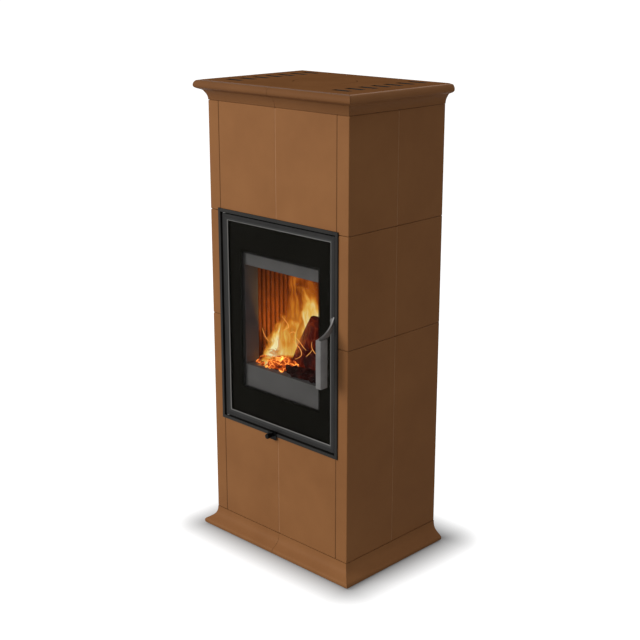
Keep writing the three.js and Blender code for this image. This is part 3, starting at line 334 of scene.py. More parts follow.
# %% Steel, iron, brick and rope inside and behind
finishes["shell_steel"] = finish(
    "shell_steel", dark=(0.028, 0.027, 0.026), light=(0.045, 0.043, 0.041), scale=12,
    roughness=(0.5, 0.7), bump=0.3, grain=500, specular=0.3)
finishes["zinc"] = finish(
    "zinc_sheet", dark=(0.30, 0.31, 0.32), light=(0.40, 0.41, 0.42), scale=25,
    roughness=(0.35, 0.55), bump=0.1, grain=300, metallic=0.9)
finishes["panel_black"] = finish(
    "panel_black", dark=(0.020, 0.020, 0.019), light=(0.030, 0.030, 0.029), scale=15,
    roughness=(0.45, 0.6), bump=0.3, grain=1400, specular=0.2)
finishes["cast_iron"] = finish(
    "cast_iron", dark=(0.018, 0.017, 0.016), light=(0.035, 0.033, 0.031), scale=40,
    roughness=(0.55, 0.8), bump=0.7, grain=320)
finishes["brick"] = finish(
    "fire_brick", dark=(0.18, 0.070, 0.022), light=(0.25, 0.100, 0.033), scale=22,
    roughness=(0.8, 0.95), bump=0.6, grain=260, specular=0.1)
finishes["rope"] = finish(
    "seal_rope", dark=(0.22, 0.21, 0.19), light=(0.34, 0.32, 0.29), scale=160,
    roughness=(0.9, 1.0), bump=0.9, grain=700)
print(len(finishes), "slots have a finish")

# %% [markdown]
# ## Charred wood
# Charred wood is black, with a network of crooked cracks stretched along the grain, and deep
# in the crust it still glows. Cracks could be cut into the logs, but a cell pattern whose
# borders are pushed about by noise gives the same network with no extra faces. The embers are
# the same crust, only hotter.

# %% Crooked cracks
WOBBLE_SCALE = 0.8
WOBBLE_REACH = 1.1


def crooked_cracks(tree, place, crack_scale, stretch):
    grain = vector_calc(tree, "MULTIPLY", place, stretch)
    wobble = add_node(tree, "ShaderNodeTexNoise", Scale=crack_scale * WOBBLE_SCALE, Detail=3.0)
    shift = add_node(tree, "ShaderNodeVectorMath", operation="SCALE")
    shift.inputs["Scale"].default_value = WOBBLE_REACH / crack_scale
    cracks = add_node(tree, "ShaderNodeTexVoronoi", feature="DISTANCE_TO_EDGE", Scale=crack_scale)
    tree.links.new(grain, wobble.inputs["Vector"])
    tree.links.new(wobble.outputs["Color"], shift.inputs[0])
    crooked = vector_calc(tree, "ADD", grain, shift.outputs[0])
    tree.links.new(crooked, cracks.inputs["Vector"])
    return cracks.outputs["Distance"]


# %% The crust and its glow
PATCH_SCALE = 0.35
PATCH_EDGE = (0.38, 0.62)
CRACK_WIDTH = 0.14
CRACK_DEPTH = 0.004
BARK_EDGE = (0.35, 0.65)
BARK_DARK, BARK_LIGHT = (0.004, 0.001, 0.001), (0.034, 0.006, 0.003)


def charred(name, low_glow, heat, dull, bright, crack_scale, body_glow, stretch=(1, 1, 1)):
    material = bpy.data.materials.new(name)
    tree = new_tree(material)
    place = object_place(tree)
    cracks = crooked_cracks(tree, place, crack_scale, stretch)
    patches = add_node(tree, "ShaderNodeTexNoise", Scale=crack_scale * PATCH_SCALE, Detail=5.0)
    patch = patches.outputs["Fac"]
    deep = ranged(tree, cracks, 0, CRACK_WIDTH, 1, body_glow)
    glow = calc(tree, "MULTIPLY", deep, ranged(tree, patch, *PATCH_EDGE, 0, 1))
    bark = two_tones(tree, BARK_DARK, BARK_LIGHT, *BARK_EDGE)
    embers = two_tones(tree, dull, bright)
    relief = add_node(tree, "ShaderNodeBump", Strength=1.0, Distance=CRACK_DEPTH)
    shader = add_node(tree, "ShaderNodeBsdfPrincipled", Roughness=0.85)
    shader.inputs["Specular IOR Level"].default_value = 0.1
    output = add_node(tree, "ShaderNodeOutputMaterial")
    link = tree.links.new
    link(place, patches.inputs["Vector"])
    link(patch, bark.inputs["Fac"])
    link(glow, embers.inputs["Fac"])
    link(cracks, relief.inputs["Height"])
    link(bark.outputs["Color"], shader.inputs["Base Color"])
    link(embers.outputs["Color"], shader.inputs["Emission Color"])
    link(ranged(tree, glow, 0, 1, low_glow, low_glow + heat), shader.inputs["Emission Strength"])
    link(relief.outputs["Normal"], shader.inputs["Normal"])
    link(shader.outputs[0], output.inputs["Surface"])
    return material


# %% Logs, cold coal and embers
RED_HEAT = (1.0, 0.045, 0.020)
ORANGE_HEAT = (1.0, 0.130, 0.012)
EMBER_RED, EMBER_GOLD = (1.0, 0.09, 0.006), (1.0, 0.50, 0.090)

finishes["charred_wood"] = charred(
    "charred_wood", low_glow=0.012, heat=0.20, dull=RED_HEAT, bright=ORANGE_HEAT,
    crack_scale=30, body_glow=0.28, stretch=(1.5, 1.5, 0.6))
cold_coal_finish = charred(
    "cold_coal", low_glow=0.004, heat=0.03, dull=RED_HEAT, bright=RED_HEAT,
    crack_scale=80, body_glow=0.0)
ember_finish = charred(
    "glowing_embers", low_glow=0.10, heat=3.6, dull=EMBER_RED, bright=EMBER_GOLD,
    crack_scale=64, body_glow=0.22)
print(finishes["charred_wood"].name, cold_coal_finish.name, ember_finish.name)

# %% [markdown]
# ## Glass
# The pane is clear ceramic glass. Real refraction would be slow and grainy here, so the pane
# is a dark, glossy surface that is nearly transparent, with a trace of haze.

# %% Clear pane
PANE_TINT = (0.012, 0.011, 0.010, 1)
HAZE_CLEAR, HAZE_DENSE = 0.10, 0.18

pane = bpy.data.materials.new("clear_pane")
tree = new_tree(pane)
shader = add_node(tree, "ShaderNodeBsdfPrincipled", Roughness=0.03)
shader.inputs["Base Color"].default_value = PANE_TINT
shader.inputs["Specular IOR Level"].default_value = 0.02
haze = add_node(tree, "ShaderNodeTexNoise", Scale=3.0)
output = add_node(tree, "ShaderNodeOutputMaterial")
tree.links.new(object_place(tree), haze.inputs["Vector"])
clearness = ranged(tree, haze.outputs["Fac"], 0, 1, HAZE_CLEAR, HAZE_DENSE)
tree.links.new(clearness, shader.inputs["Alpha"])
tree.links.new(shader.outputs[0], output.inputs["Surface"])
finishes["glass"] = pane
print(pane.name, "ready")

# %% [markdown]
# The black border is ceramic ink. Towards the window it ends in fine dots that thin out. The
# dots could be cut one by one, but at this size they only read as a fade, so the ink turns
# clear over the last millimetres before the window's edge.

# %% Print of the border
WINDOW_HALF_WIDTH = 0.151
WINDOW_BOTTOM, WINDOW_TOP = 0.480, 0.877
DOT_FADE = 0.007
DOT_COVER = 0.2

print_ink = finish(
    "black_print", dark=(0.0040, 0.0037, 0.0020), light=(0.0060, 0.0055, 0.0034), scale=6,
    roughness=(0.2, 0.3), bump=0.0, grain=100, specular=0.01)
tree = print_ink.node_tree
window_middle = (0, 0, (WINDOW_BOTTOM + WINDOW_TOP) / 2)
window_half = (WINDOW_HALF_WIDTH, 1, (WINDOW_TOP - WINDOW_BOTTOM) / 2)
from_middle = vector_calc(tree, "SUBTRACT", object_place(tree), window_middle)
beyond = vector_calc(tree, "SUBTRACT", vector_calc(tree, "ABSOLUTE", from_middle), window_half)
split = add_node(tree, "ShaderNodeSeparateXYZ")
tree.links.new(beyond, split.inputs[0])
farther = calc(tree, "MAXIMUM", split.outputs["X"], split.outputs["Z"])
cover = ranged(tree, farther, 0, DOT_FADE, DOT_COVER, 1)
tree.links.new(cover, find_node(tree, "BSDF_PRINCIPLED").inputs["Alpha"])
print("ink fades over", DOT_FADE * 1000, "mm")

# %% [markdown]
# ## Softened copies of the solids
# A real casting, pressing or tile has no knife edges. The edges could be rounded in the
# solids, but the physics needs no such faces. So a visible solid is copied, its loose
# triangles are merged, its edges are beveled by the width that the real process leaves, and
# its curves are shaded smooth. The copy then stands for the solid.

# %% Helpers for a finished piece
SMOOTH_ANGLE = 35


def only(piece):
    bpy.ops.object.select_all(action="DESELECT")
    piece.select_set(True)
    bpy.context.view_layer.objects.active = piece


def apply_modifier(piece, kind, **values):
    only(piece)
    modifier = piece.modifiers.new(kind.lower(), kind)
    for key, value in values.items():
        setattr(modifier, key, value)
    bpy.ops.object.modifier_apply(modifier=modifier.name)


def settle(piece, body, material, angle=SMOOTH_ANGLE):
    only(piece)
    bpy.ops.object.transform_apply(location=True, rotation=True, scale=True)
    bpy.ops.object.shade_smooth_by_angle(angle=math.radians(angle))
    apply_modifier(piece, "WEIGHTED_NORMAL", keep_sharp=True)
    piece.data.materials.clear()
    piece.data.materials.append(material)
    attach(piece, body)
    return piece


# %% A softened copy
WELD_DISTANCE = 0.000002
FLAT_ANGLE = 0.5
BEVEL_ANGLE = 40


def merged_copy(node):
    piece = nodes[node].copy()
    piece.data = nodes[node].data.copy()
    piece.parent = None
    for key in list(piece.keys()):
        del piece[key]
    piece.name = node + "_shown"
    bpy.context.scene.collection.objects.link(piece)
    only(piece)
    bpy.ops.object.mode_set(mode="EDIT")
    bpy.ops.mesh.select_all(action="SELECT")
    bpy.ops.mesh.remove_doubles(threshold=WELD_DISTANCE)
    bpy.ops.mesh.dissolve_limited(angle_limit=math.radians(FLAT_ANGLE))
    bpy.ops.object.mode_set(mode="OBJECT")
    return piece


def soften(node, width=0.0, angle=SMOOTH_ANGLE, material=None):
    piece = merged_copy(node)
    if width:
        apply_modifier(piece, "BEVEL", width=width, segments=2, limit_method="ANGLE",
                       angle_limit=math.radians(BEVEL_ANGLE), use_clamp_overlap=True)
    settle(piece, body_of[node], material or finishes[slot_of[node]], angle)
    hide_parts(node)
    return piece


# %% Tiles and mouldings
TILE_ANGLE = 32

tile_nodes = [name for name in nodes if slot_of[name] == "glaze"]
for name in tile_nodes:
    # The cornice front takes the darker copy, which paints shade on it.
    glaze = cornice_glaze_painted_shade if name.startswith("cornice_front") else finishes["glaze"]
    soften(name, angle=TILE_ANGLE, material=glaze)
print(len(tile_nodes), "ceramic pieces softened")

# %% [markdown]
# Sheet and cast pieces get a bevel of 0.3 to 1.5 mm. The hidden ones and the round ones only
# get smooth shading, because their edges don't show or are shaped already.

# %% Metal pieces and the hearth brick
edge_widths = {
    "top_plate": 0.0005, "flue_cover": 0.0008, "door_surround": 0.0004, "door_frame": 0.0004,
    "handle_arm": 0.0005, "handle_grip": 0.0005, "air_slider": 0.0003, "front_plate": 0.0008,
    "flue_collar": 0.0004, "ash_drawer": 0.0004, "base_plate": 0.0005, "hearth_brick": 0.0015,
    "air_knob": 0, "hinge_pin_upper": 0, "hinge_pin_lower": 0, "latch_spindle": 0,
    "top_outlet_cap": 0,
}
for name, width in edge_widths.items():
    soften(name, width)
print(len(edge_widths), "metal and brick pieces softened")

# %% [markdown]
# The other solids, nearly all inside or behind the stove, are shown as they are. They only
# get the finish of their slot.

# %% Solids that are shown as they are
plain_solids = [name for name, solid in nodes.items() if not solid.hide_render]
for name in plain_solids:
    solid = nodes[name]
    solid.data.materials.clear()
    solid.data.materials.append(finishes[slot_of[name]])
print(len(plain_solids), "solids shown as they are")

# %% [markdown]
# ## Faces with a finish of their own
# On the door's rim a pale line runs round the glass, where the bevel catches the light. It
# could be a thin wire, but on the real door it is the bevel itself. So the faces of the bevel
# get a steel that turns pale halfway in, a painted highlight that shows as a line of even width.

# %% Painted highlight on the bevel of the door's rim
LINE_START, LINE_END = 0.45, 0.65
BEVEL_FACES_LEAST, BEVEL_FACES_MOST = -0.97, -0.2
BEVEL_FACE_AREA = 0.0005


def refinish(node, material, is_chosen):
    piece = bpy.data.objects[node + "_shown"]
    piece.data.materials.append(material)
    faces = [face for face in piece.data.polygons if is_chosen(face)]
    for face in faces:
        face.material_index = 1
    print(len(faces), "faces of", node, "in", material.name)


def on_bevel(face):
    leans_in = BEVEL_FACES_LEAST < face.normal.y < BEVEL_FACES_MOST
    return leans_in and face.area > BEVEL_FACE_AREA


rim_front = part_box("door_frame")[0].y
rim_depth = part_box("door_glass")[0].y - rim_front
line_start = rim_front + LINE_START * rim_depth
line_end = rim_front + LINE_END * rim_depth
tree = bevel_steel_painted_highlight.node_tree
split = add_node(tree, "ShaderNodeSeparateXYZ")
tree.links.new(object_place(tree), split.inputs[0])
# Pale from line_start inwards: the painted highlight.
inward = ranged(tree, split.outputs["Y"], line_start, line_end, 0, 1)
tree.links.new(inward, find_node(tree, "VALTORGB").inputs["Fac"])
refinish("door_frame", bevel_steel_painted_highlight, on_bevel)

# %% [markdown]
# The left jamb of the firebox mouth faces the daylight, so its faces get a lighter, bluer grey
# than the plate, which is painted light. The walls of the slots in the top get dark steel, which
# is painted shade. Both could be extra pieces, but the faces are there already, so they only
# change their finish.

# %% Painted light on the left jamb, painted shade on the walls of the top slots
JAMB_X = -0.152
JAMB_REACH = 0.004
TO_THE_RIGHT = 0.9
SLOT_ROW_X = (0.170, 0.238)
SLOT_ROW_Y = 0.163
UPRIGHT = 0.5


def on_left_jamb(face):
    return face.normal.x > TO_THE_RIGHT and abs(face.center.x - JAMB_X) < JAMB_REACH


def in_top_slot(face):
    in_row = SLOT_ROW_X[0] < abs(face.center.x) < SLOT_ROW_X[1]
    return in_row and abs(face.center.y) < SLOT_ROW_Y and abs(face.normal.z) < UPRIGHT


# The jamb's faces take the lighter grey: painted light.
refinish("front_plate", painted_light_jamb_grey, on_left_jamb)
# The slot walls take the dark steel: painted shade in the recesses.
refinish("top_plate", finishes["dark_steel"], in_top_slot)

# %% [markdown]
# The tab that carries the air knob sits in the knob's shade and looks as black as the knob.
# It is part of the slider, which is hidden otherwise, so the whole slider takes the knob's black
# as painted shade.

# %% Air slider painted black as shade
slider = bpy.data.objects["air_slider_shown"]
# The knob's black on the slider is painted shade.
slider.data.materials[0] = finishes["black_knob"]
print(slider.name, "in", slider.data.materials[0].name)

# %% [markdown]
# ## Painted shade in the flutes of the linings
# The linings of the firebox are cast with upright flutes. The brick is made darker in the
# grooves between them, as painted shade, and a little lighter on the ribs, as painted light.
# It could be drawn groove by groove, but a sine with the pitch of the flutes finds each groove by
# itself.

# %% Painted shade in the grooves of the linings
FLUTE_PITCH = 0.018
GROOVE_END, RIB_START = 0.15, 0.95
GROOVE_PAINTED_SHADE, RIB_PAINTED_LIGHT = 0.28, 1.05
ALONG_X, ALONG_Y = 0, 1


def flute_shaded_brick(node, axis):
    low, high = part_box(node)
    first_groove = low[axis] + ((high[axis] - low[axis]) % FLUTE_PITCH) / 2
    material = finishes["brick"].copy()
    material.name = node + "_brick"
    tree = material.node_tree
    split = add_node(tree, "ShaderNodeSeparateXYZ")
    tree.links.new(object_place(tree), split.inputs[0])
    from_groove = calc(tree, "SUBTRACT", split.outputs[axis], first_groove)
    wave = calc(tree, "SINE", calc(tree, "MULTIPLY", from_groove, math.pi / FLUTE_PITCH))
    rib = calc(tree, "ABSOLUTE", wave)
    # Darker in the grooves and lighter on the ribs: painted shade and painted light.
    painted_flute_shade = ranged(tree, rib, GROOVE_END, RIB_START, GROOVE_PAINTED_SHADE, RIB_PAINTED_LIGHT)
    shade = add_node(tree, "ShaderNodeVectorMath", operation="SCALE")
    tree.links.new(find_node(tree, "VALTORGB").outputs["Color"], shade.inputs[0])
    tree.links.new(painted_flute_shade, shade.inputs["Scale"])
    shader = find_node(tree, "BSDF_PRINCIPLED")
    tree.links.new(shade.outputs[0], shader.inputs["Base Color"])
    nodes[node].data.materials[0] = material
    print(material.name, "first groove at", round(first_groove, 4))


flute_shaded_brick("lining_left", ALONG_Y)
flute_shaded_brick("lining_right", ALONG_Y)
flute_shaded_brick("lining_back", ALONG_X)

# %% [markdown]
# ## Joints between the tiles
# The upright joints are filled. A line could be painted on the tiles, but a real joint lies a
# little behind their faces and is slightly hollow. So each is a narrow grid of faces, bent
# into a hollow and made solid. Its pale colour is a painted highlight of the tiles' rounded
# edges, and beside the front corners it is painted dark instead, as shade.

# %% Filler for the upright joints, in a painted highlight and a painted shade
# A pale filler: painted highlight of the rounded tile edges.
joint_filler_painted_highlight = finish(
    "joint_filler_painted_highlight", dark=(0.32, 0.155, 0.071), light=(0.36, 0.183, 0.090), scale=60,
    roughness=(0.85, 0.95), bump=0.4, grain=900, specular=0.05)
# A dark filler beside the front corners: painted shade.
corner_filler_painted_shade = finish(
    "corner_filler_painted_shade", dark=(0.105, 0.044, 0.017), light=(0.130, 0.056, 0.022), scale=60,
    roughness=(0.85, 0.95), bump=0.4, grain=900, specular=0.05)
print(joint_filler_painted_highlight.name, corner_filler_painted_shade.name)

# %% One upright joint
FILLER_WIDTH = 0.0026
FILLER_DEPTH = 0.0006
FILLER_SAG = 0.0003
FILLER_THICKNESS = 0.0004
END_GAP = 0.002
UP = Vector((0, 0, 1))


def upright_joint(name, first, second, outward, filler):
    across = outward.cross(UP)
    low_a, high_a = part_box(first)
    low_b, high_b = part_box(second)
    i = 0 if abs(across.x) > 0.5 else 1
    middle = (min(high_a[i], high_b[i]) + max(low_a[i], low_b[i])) / 2
    face = max(outward.dot(low_b), outward.dot(high_b))
    bottom = max(low_a.z, low_b.z) + END_GAP
    top = min(high_a.z, high_b.z) - END_GAP
    bpy.ops.mesh.primitive_grid_add(x_subdivisions=6, y_subdivisions=1, size=1)
    strip = bpy.context.object
    strip.name = name
    for vertex in strip.data.vertices:
        u, v = vertex.co.x, vertex.co.y + 0.5
        depth = face - FILLER_DEPTH - FILLER_SAG * (1 - (2 * u) ** 2)
        spot = outward * depth + UP * (bottom + v * (top - bottom))
        spot[i] += middle + u * FILLER_WIDTH * abs(across[i])
        vertex.co = spot
    bpy.ops.object.mode_set(mode="EDIT")
    bpy.ops.mesh.select_all(action="SELECT")
    bpy.ops.mesh.normals_make_consistent(inside=False)
    bpy.ops.object.mode_set(mode="OBJECT")
    if strip.data.polygons[0].normal.dot(outward) < 0:
        strip.data.flip_normals()
    apply_modifier(strip, "SOLIDIFY", thickness=FILLER_THICKNESS, offset=-1)
    return settle(strip, "stove", filler)


# %% All upright joints
FORWARD = Vector((0, -1, 0))
SIDEWAYS = {"left": Vector((-1, 0, 0)), "right": Vector((1, 0, 0))}

joints = []
for row in ("lower", "upper"):
    name = f"joint_front_{row}"
    left, right = f"front_tile_{row}_left", f"front_tile_{row}_right"
    far_left, far_right = f"corner_tile_left_{row}", f"corner_tile_right_{row}"
    joints.append(upright_joint(name, left, right, FORWARD, joint_filler_painted_highlight))
    joints.append(upright_joint(name + "_left", far_left, left, FORWARD, corner_filler_painted_shade))
    joints.append(upright_joint(name + "_right", right, far_right, FORWARD, corner_filler_painted_shade))
for side, outward in SIDEWAYS.items():
    for row in ("lower", "middle", "upper"):
        corner, flat = f"corner_tile_{side}_{row}", f"side_tile_{side}_{row}"
        joints.append(upright_joint(f"joint_{side}_{row}", corner, flat, outward, joint_filler_painted_highlight))
print(len(joints), "upright joints filled")

# %% [markdown]
# ## The printed border
# The ink runs round the pane and leaves a clear window. It could be a pattern in the glass,
# but then both faces of the pane would carry it. So it is a piece of its own on the inner
# face: a grid of three by three faces, whose middle one is deleted, as thick as a coat of ink.


# %% Helper that selects faces
def select_faces(piece, is_chosen):
    only(piece)
    bpy.ops.object.mode_set(mode="EDIT")
    bpy.ops.mesh.select_mode(type="FACE")
    bpy.ops.mesh.select_all(action="DESELECT")
    bpy.ops.object.mode_set(mode="OBJECT")
    for face in piece.data.polygons:
        face.select = is_chosen(face)
    bpy.ops.object.mode_set(mode="EDIT")


# %% Border on the glass
INK = 0.00012
INK_GAP = 0.0001
PANE_MARGIN = 0.001
PARTS = 3


def in_window(face):
    across, up = abs(face.center.x), face.center.z
    return across < WINDOW_HALF_WIDTH and WINDOW_BOTTOM < up < WINDOW_TOP


low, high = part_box("door_glass")
ink_y = high.y + INK_GAP
columns = [low.x + PANE_MARGIN, -WINDOW_HALF_WIDTH, WINDOW_HALF_WIDTH, high.x - PANE_MARGIN]
rows = [low.z + PANE_MARGIN, WINDOW_BOTTOM, WINDOW_TOP, high.z - PANE_MARGIN]
bpy.ops.mesh.primitive_grid_add(x_subdivisions=PARTS, y_subdivisions=PARTS, size=2,
                                rotation=(math.pi / 2, 0, 0))
border = bpy.context.object
border.name = "glass_border"
only(border)
bpy.ops.object.transform_apply(rotation=True)
for vertex in border.data.vertices:
    column = round((vertex.co.x + 1) * PARTS / 2)
    row = round((vertex.co.z + 1) * PARTS / 2)
    vertex.co = (columns[column], ink_y, rows[row])
select_faces(border, in_window)
bpy.ops.mesh.delete(type="FACE")
bpy.ops.object.mode_set(mode="OBJECT")
apply_modifier(border, "SOLIDIFY", thickness=INK, offset=0)
settle(border, "door", print_ink)
print(border.name, "has", len(border.data.polygons), "faces")

# %% [markdown]
# ## Flames
# A flame is a glowing skin with nothing inside. A cloud of smoke and fire would be slow to
# render, and a solid would look like wax, so each flame is a thin curved sheet whose outline
# is drawn by its material: a row of tongues of uneven height that sway more the higher they
# reach. Where the flame is dense it is hot and pale, and towards the tips it turns red.

# %% Sway and tongues of a flame
SEED_STEP = 2.7
SWAY_SCALE, SWAY = 2.0, 0.8
CURL_SCALE, CURL = 7.0, 0.22
SWAY_DETAIL = 2.0
TONGUE_SCALE, TONGUE_DETAIL = 3.4, 1.0
TONGUE_STRETCH, TONGUE_DEPTH = 0.6, 3.6
TALLEST = 1.2
SHOULDERS = 1.3


def flame_noise(tree, x, y, seed, scale, detail):
    place = add_node(tree, "ShaderNodeCombineXYZ", Z=seed * SEED_STEP)
    fill_sockets(tree, place.inputs, (x, y))
    clouds = add_node(tree, "ShaderNodeTexNoise", Scale=scale, Detail=detail)
    tree.links.new(place.outputs[0], clouds.inputs["Vector"])
    return clouds.outputs["Fac"]


def sideways(tree, across, up, seed, scale, amount):
    clouds = flame_noise(tree, across, up, seed, scale, SWAY_DETAIL)
    push = calc(tree, "SUBTRACT", clouds, 0.5)
    return calc(tree, "MULTIPLY", push, calc(tree, "MULTIPLY", up, amount))


def bend(tree, across, up, seed):
    sway = sideways(tree, across, up, seed, SWAY_SCALE, SWAY)
    curl = sideways(tree, across, up, seed, CURL_SCALE, CURL)
    return calc(tree, "ADD", across, calc(tree, "ADD", sway, curl))


def tongue_height(tree, bent, up, seed, tongues):
    off_middle = calc(tree, "ABSOLUTE", calc(tree, "SUBTRACT", bent, 0.5))
    squared = calc(tree, "POWER", calc(tree, "MULTIPLY", off_middle, 2.0), 2.0)
    arch = calc(tree, "MAXIMUM", calc(tree, "SUBTRACT", 1.0, squared), 0.0)
    bell = calc(tree, "POWER", arch, SHOULDERS)
    slow = calc(tree, "MULTIPLY", up, TONGUE_STRETCH)
    ridges = flame_noise(tree, bent, slow, seed, TONGUE_SCALE, TONGUE_DETAIL)
    valley = calc(tree, "ABSOLUTE", calc(tree, "SUBTRACT", ridges, 0.5))
    cut = calc(tree, "MULTIPLY", valley, TONGUE_DEPTH * tongues)
    return calc(tree, "MULTIPLY", bell, calc(tree, "SUBTRACT", TALLEST, cut))


# %% Density and colour of a flame
SOFT_EDGE = 0.50
FOOT_FADE = 0.06
STREAK_STRETCH = 4.0
STREAK_SCALE, STREAK_DETAIL = 3.0, 5.0
STREAK_RANGE = (0.30, 0.70)
STREAK_FAINT, STREAK_STRONG = 0.50, 1.15
DENSE_WARMTH, TIP_COOLING = 0.55, 0.35
COVER_GAIN, COVER_MOST = 1.3, 0.86
FLAME_TONES = [
    (0.00, (0.16, 0.020, 0.002)), (0.28, (0.52, 0.110, 0.008)), (0.55, (0.80, 0.270, 0.022)),
    (0.80, (0.95, 0.580, 0.110)), (1.00, (1.00, 0.900, 0.480)),
]


def flame_density(tree, across, up, seed, tongues):
    bent = bend(tree, across, up, seed)
    inside = calc(tree, "SUBTRACT", tongue_height(tree, bent, up, seed, tongues), up)
    body = ranged(tree, inside, 0, SOFT_EDGE, 0, 1)
    narrow = calc(tree, "MULTIPLY", bent, STREAK_STRETCH)
    fine = flame_noise(tree, narrow, up, seed, STREAK_SCALE, STREAK_DETAIL)
    streak = ranged(tree, fine, *STREAK_RANGE, STREAK_FAINT, STREAK_STRONG)
    fade_in = ranged(tree, up, 0, FOOT_FADE, 0, 1)
    return calc(tree, "MULTIPLY", calc(tree, "MULTIPLY", body, streak), fade_in)


def flame_colour(tree, density, up, heat_shift):
    cooling = calc(tree, "MULTIPLY", up, TIP_COOLING)
    warmth = calc(tree, "SUBTRACT", calc(tree, "MULTIPLY", density, DENSE_WARMTH), cooling)
    tones = add_node(tree, "ShaderNodeValToRGB")
    ramp = tones.color_ramp
    while len(ramp.elements) < len(FLAME_TONES):
        ramp.elements.new(0.5)
    for element, (position, colour) in zip(ramp.elements, FLAME_TONES):
        element.position = position
        element.color = (*colour, 1)
    tree.links.new(calc(tree, "ADD", warmth, heat_shift), tones.inputs["Fac"])
    return tones.outputs["Color"]


def flame_material(name, seed, strength, heat_shift, tongues):
    material = bpy.data.materials.new(name)
    tree = new_tree(material)
    split = add_node(tree, "ShaderNodeSeparateXYZ")
    tree.links.new(add_node(tree, "ShaderNodeTexCoord").outputs["UV"], split.inputs[0])
    across, up = split.outputs["X"], split.outputs["Y"]
    density = flame_density(tree, across, up, seed, tongues)
    cover = calc(tree, "MINIMUM", calc(tree, "MULTIPLY", density, COVER_GAIN), COVER_MOST)
    light = add_node(tree, "ShaderNodeEmission", Strength=strength)
    tree.links.new(flame_colour(tree, density, up, heat_shift), light.inputs["Color"])
    clear = add_node(tree, "ShaderNodeBsdfTransparent")
    mix = add_node(tree, "ShaderNodeMixShader")
    fill_sockets(tree, mix.inputs, (cover, clear.outputs[0], light.outputs[0]))
    output = add_node(tree, "ShaderNodeOutputMaterial")
    tree.links.new(mix.outputs[0], output.inputs["Surface"])
    return material


# %% [markdown]
# Nine sheets stand one behind the other, from the tall ones at the back to a low one in
# front, so the fire has depth when the camera moves. All face half to the right, the way
# that the photograph looks in. Each is bowed, so that no sheet is seen as a thin line.

# %% Flame sheets
# name: x, y, foot above the hearth, width, height, lean, strength, heat shift, tongues
flames = {
    "flame_back": (-0.050, -0.015, 0.020, 0.180, 0.290, -0.02, 0.75, 0.16, 0.8),
    "flame_behind": (-0.015, -0.030, 0.040, 0.130, 0.250, -0.02, 0.85, 0.20, 1.0),
    "flame_tall": (-0.062, -0.056, 0.030, 0.130, 0.300, 0.02, 0.95, 0.26, 0.7),
    "flame_mid": (-0.060, -0.084, 0.020, 0.110, 0.190, 0.02, 1.00, 0.34, 0.9),
    "flame_right": (0.014, -0.048, 0.085, 0.105, 0.170, -0.03, 1.10, 0.56, 0.6),
    "flame_core": (-0.104, -0.096, 0.010, 0.095, 0.140, 0.02, 1.10, 0.56, 0.5),
    "flame_heart": (-0.098, -0.106, 0.006, 0.070, 0.105, 0.01, 1.20, 0.75, 0.3),
    "flame_left": (-0.132, -0.096, 0.004, 0.050, 0.080, -0.01, 1.00, 0.26, 1.0),
    "flame_low": (-0.088, -0.124, 0.000, 0.110, 0.055, 0.00, 1.05, 0.36, 1.0),
}
FLAME_TURN = math.radians(44)
BOW, RIPPLE, RIPPLES = 0.12, 0.06, 5
GLOW_ANGLE = 60

hearth_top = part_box("hearth_brick")[1].z
for seed, (name, values) in enumerate(flames.items()):
    x, y, foot, width, height, lean, strength, heat_shift, tongues = values
    bpy.ops.mesh.primitive_grid_add(x_subdivisions=12, y_subdivisions=20, size=1, calc_uvs=True)
    sheet = bpy.context.object
    sheet.name = name
    for vertex in sheet.data.vertices:
        u, v = vertex.co.x, vertex.co.y + 0.5
        along = u * width + lean * v
        bow = BOW * width * math.cos(u * math.pi) + RIPPLE * width * math.sin(v * RIPPLES + seed)
        vertex.co = (x + along * math.cos(FLAME_TURN) + bow * math.sin(FLAME_TURN),
                     y + along * math.sin(FLAME_TURN) - bow * math.cos(FLAME_TURN),
                     hearth_top + foot + v * height)
    glow = flame_material(name + "_glow", seed + 1.0, strength, heat_shift, tongues)
    settle(sheet, "stove", glow, GLOW_ANGLE)
    sheet.visible_shadow = False
    sheet.visible_diffuse = False
print(len(flames), "flames")

# %% [markdown]
# ## Firelight
# The sheets could light the firebox themselves, but light from such thin glowing faces is
# grainy. So a small warm lamp stands for all of them. It faces the back of the firebox, so
# the fluted linings glow and the steel in front stays grey.

# %% Fire lamp
FIRE_PLACE = (-0.06, -0.112, hearth_top + 0.07)
FIRE_TARGET = (-0.05, 0.1, hearth_top + 0.16)
FIRE_COLOUR = (1.0, 0.42, 0.08)

fire_lamp = soft_lamp("fire_lamp", FIRE_PLACE, FIRE_TARGET, size=0.05, watts=0.85,
                      color=FIRE_COLOUR)
fire_lamp.visible_camera = False
print("fire lamp", round(fire_lamp.data.energy, 2), "W")

# %% [markdown]
# ## Embers and coal
# Embers are crumbled charcoal: lumps of many sizes in a loose bed, glowing in their cracks.
# Cold lumps of the same make lie on the right, in front of the thick log. One bumpy slab
# would be simpler, but the gaps between lumps are what makes a bed of embers. So small
# spheres are laid out in a spiral and flattened, joined, and roughened together.

# %% A bed of lumps
# The sines of a lump's number stand in for chance, and the noise has a fixed seed, so that
# each run gives the same bed. Without a seed Blender takes one from the clock.
SPIRAL_STEP = 2.399
LUMP_LEAST, LUMP_EXTRA = 0.0055, 0.0055
LUMP_SEAT, LUMP_HEAP = 0.7, 1.1
LUMP_SHAPE, LUMP_CHANGE = (1.6, 0.9, 0.8), (0.5, 0.2)
LUMP_TILT, LUMP_SPIN = 0.4, 1.3
LUMP_ANGLE = 20
CRUMBLE, CRUMBLE_SCALE = 0.0026, 160
BED_SEED = 3


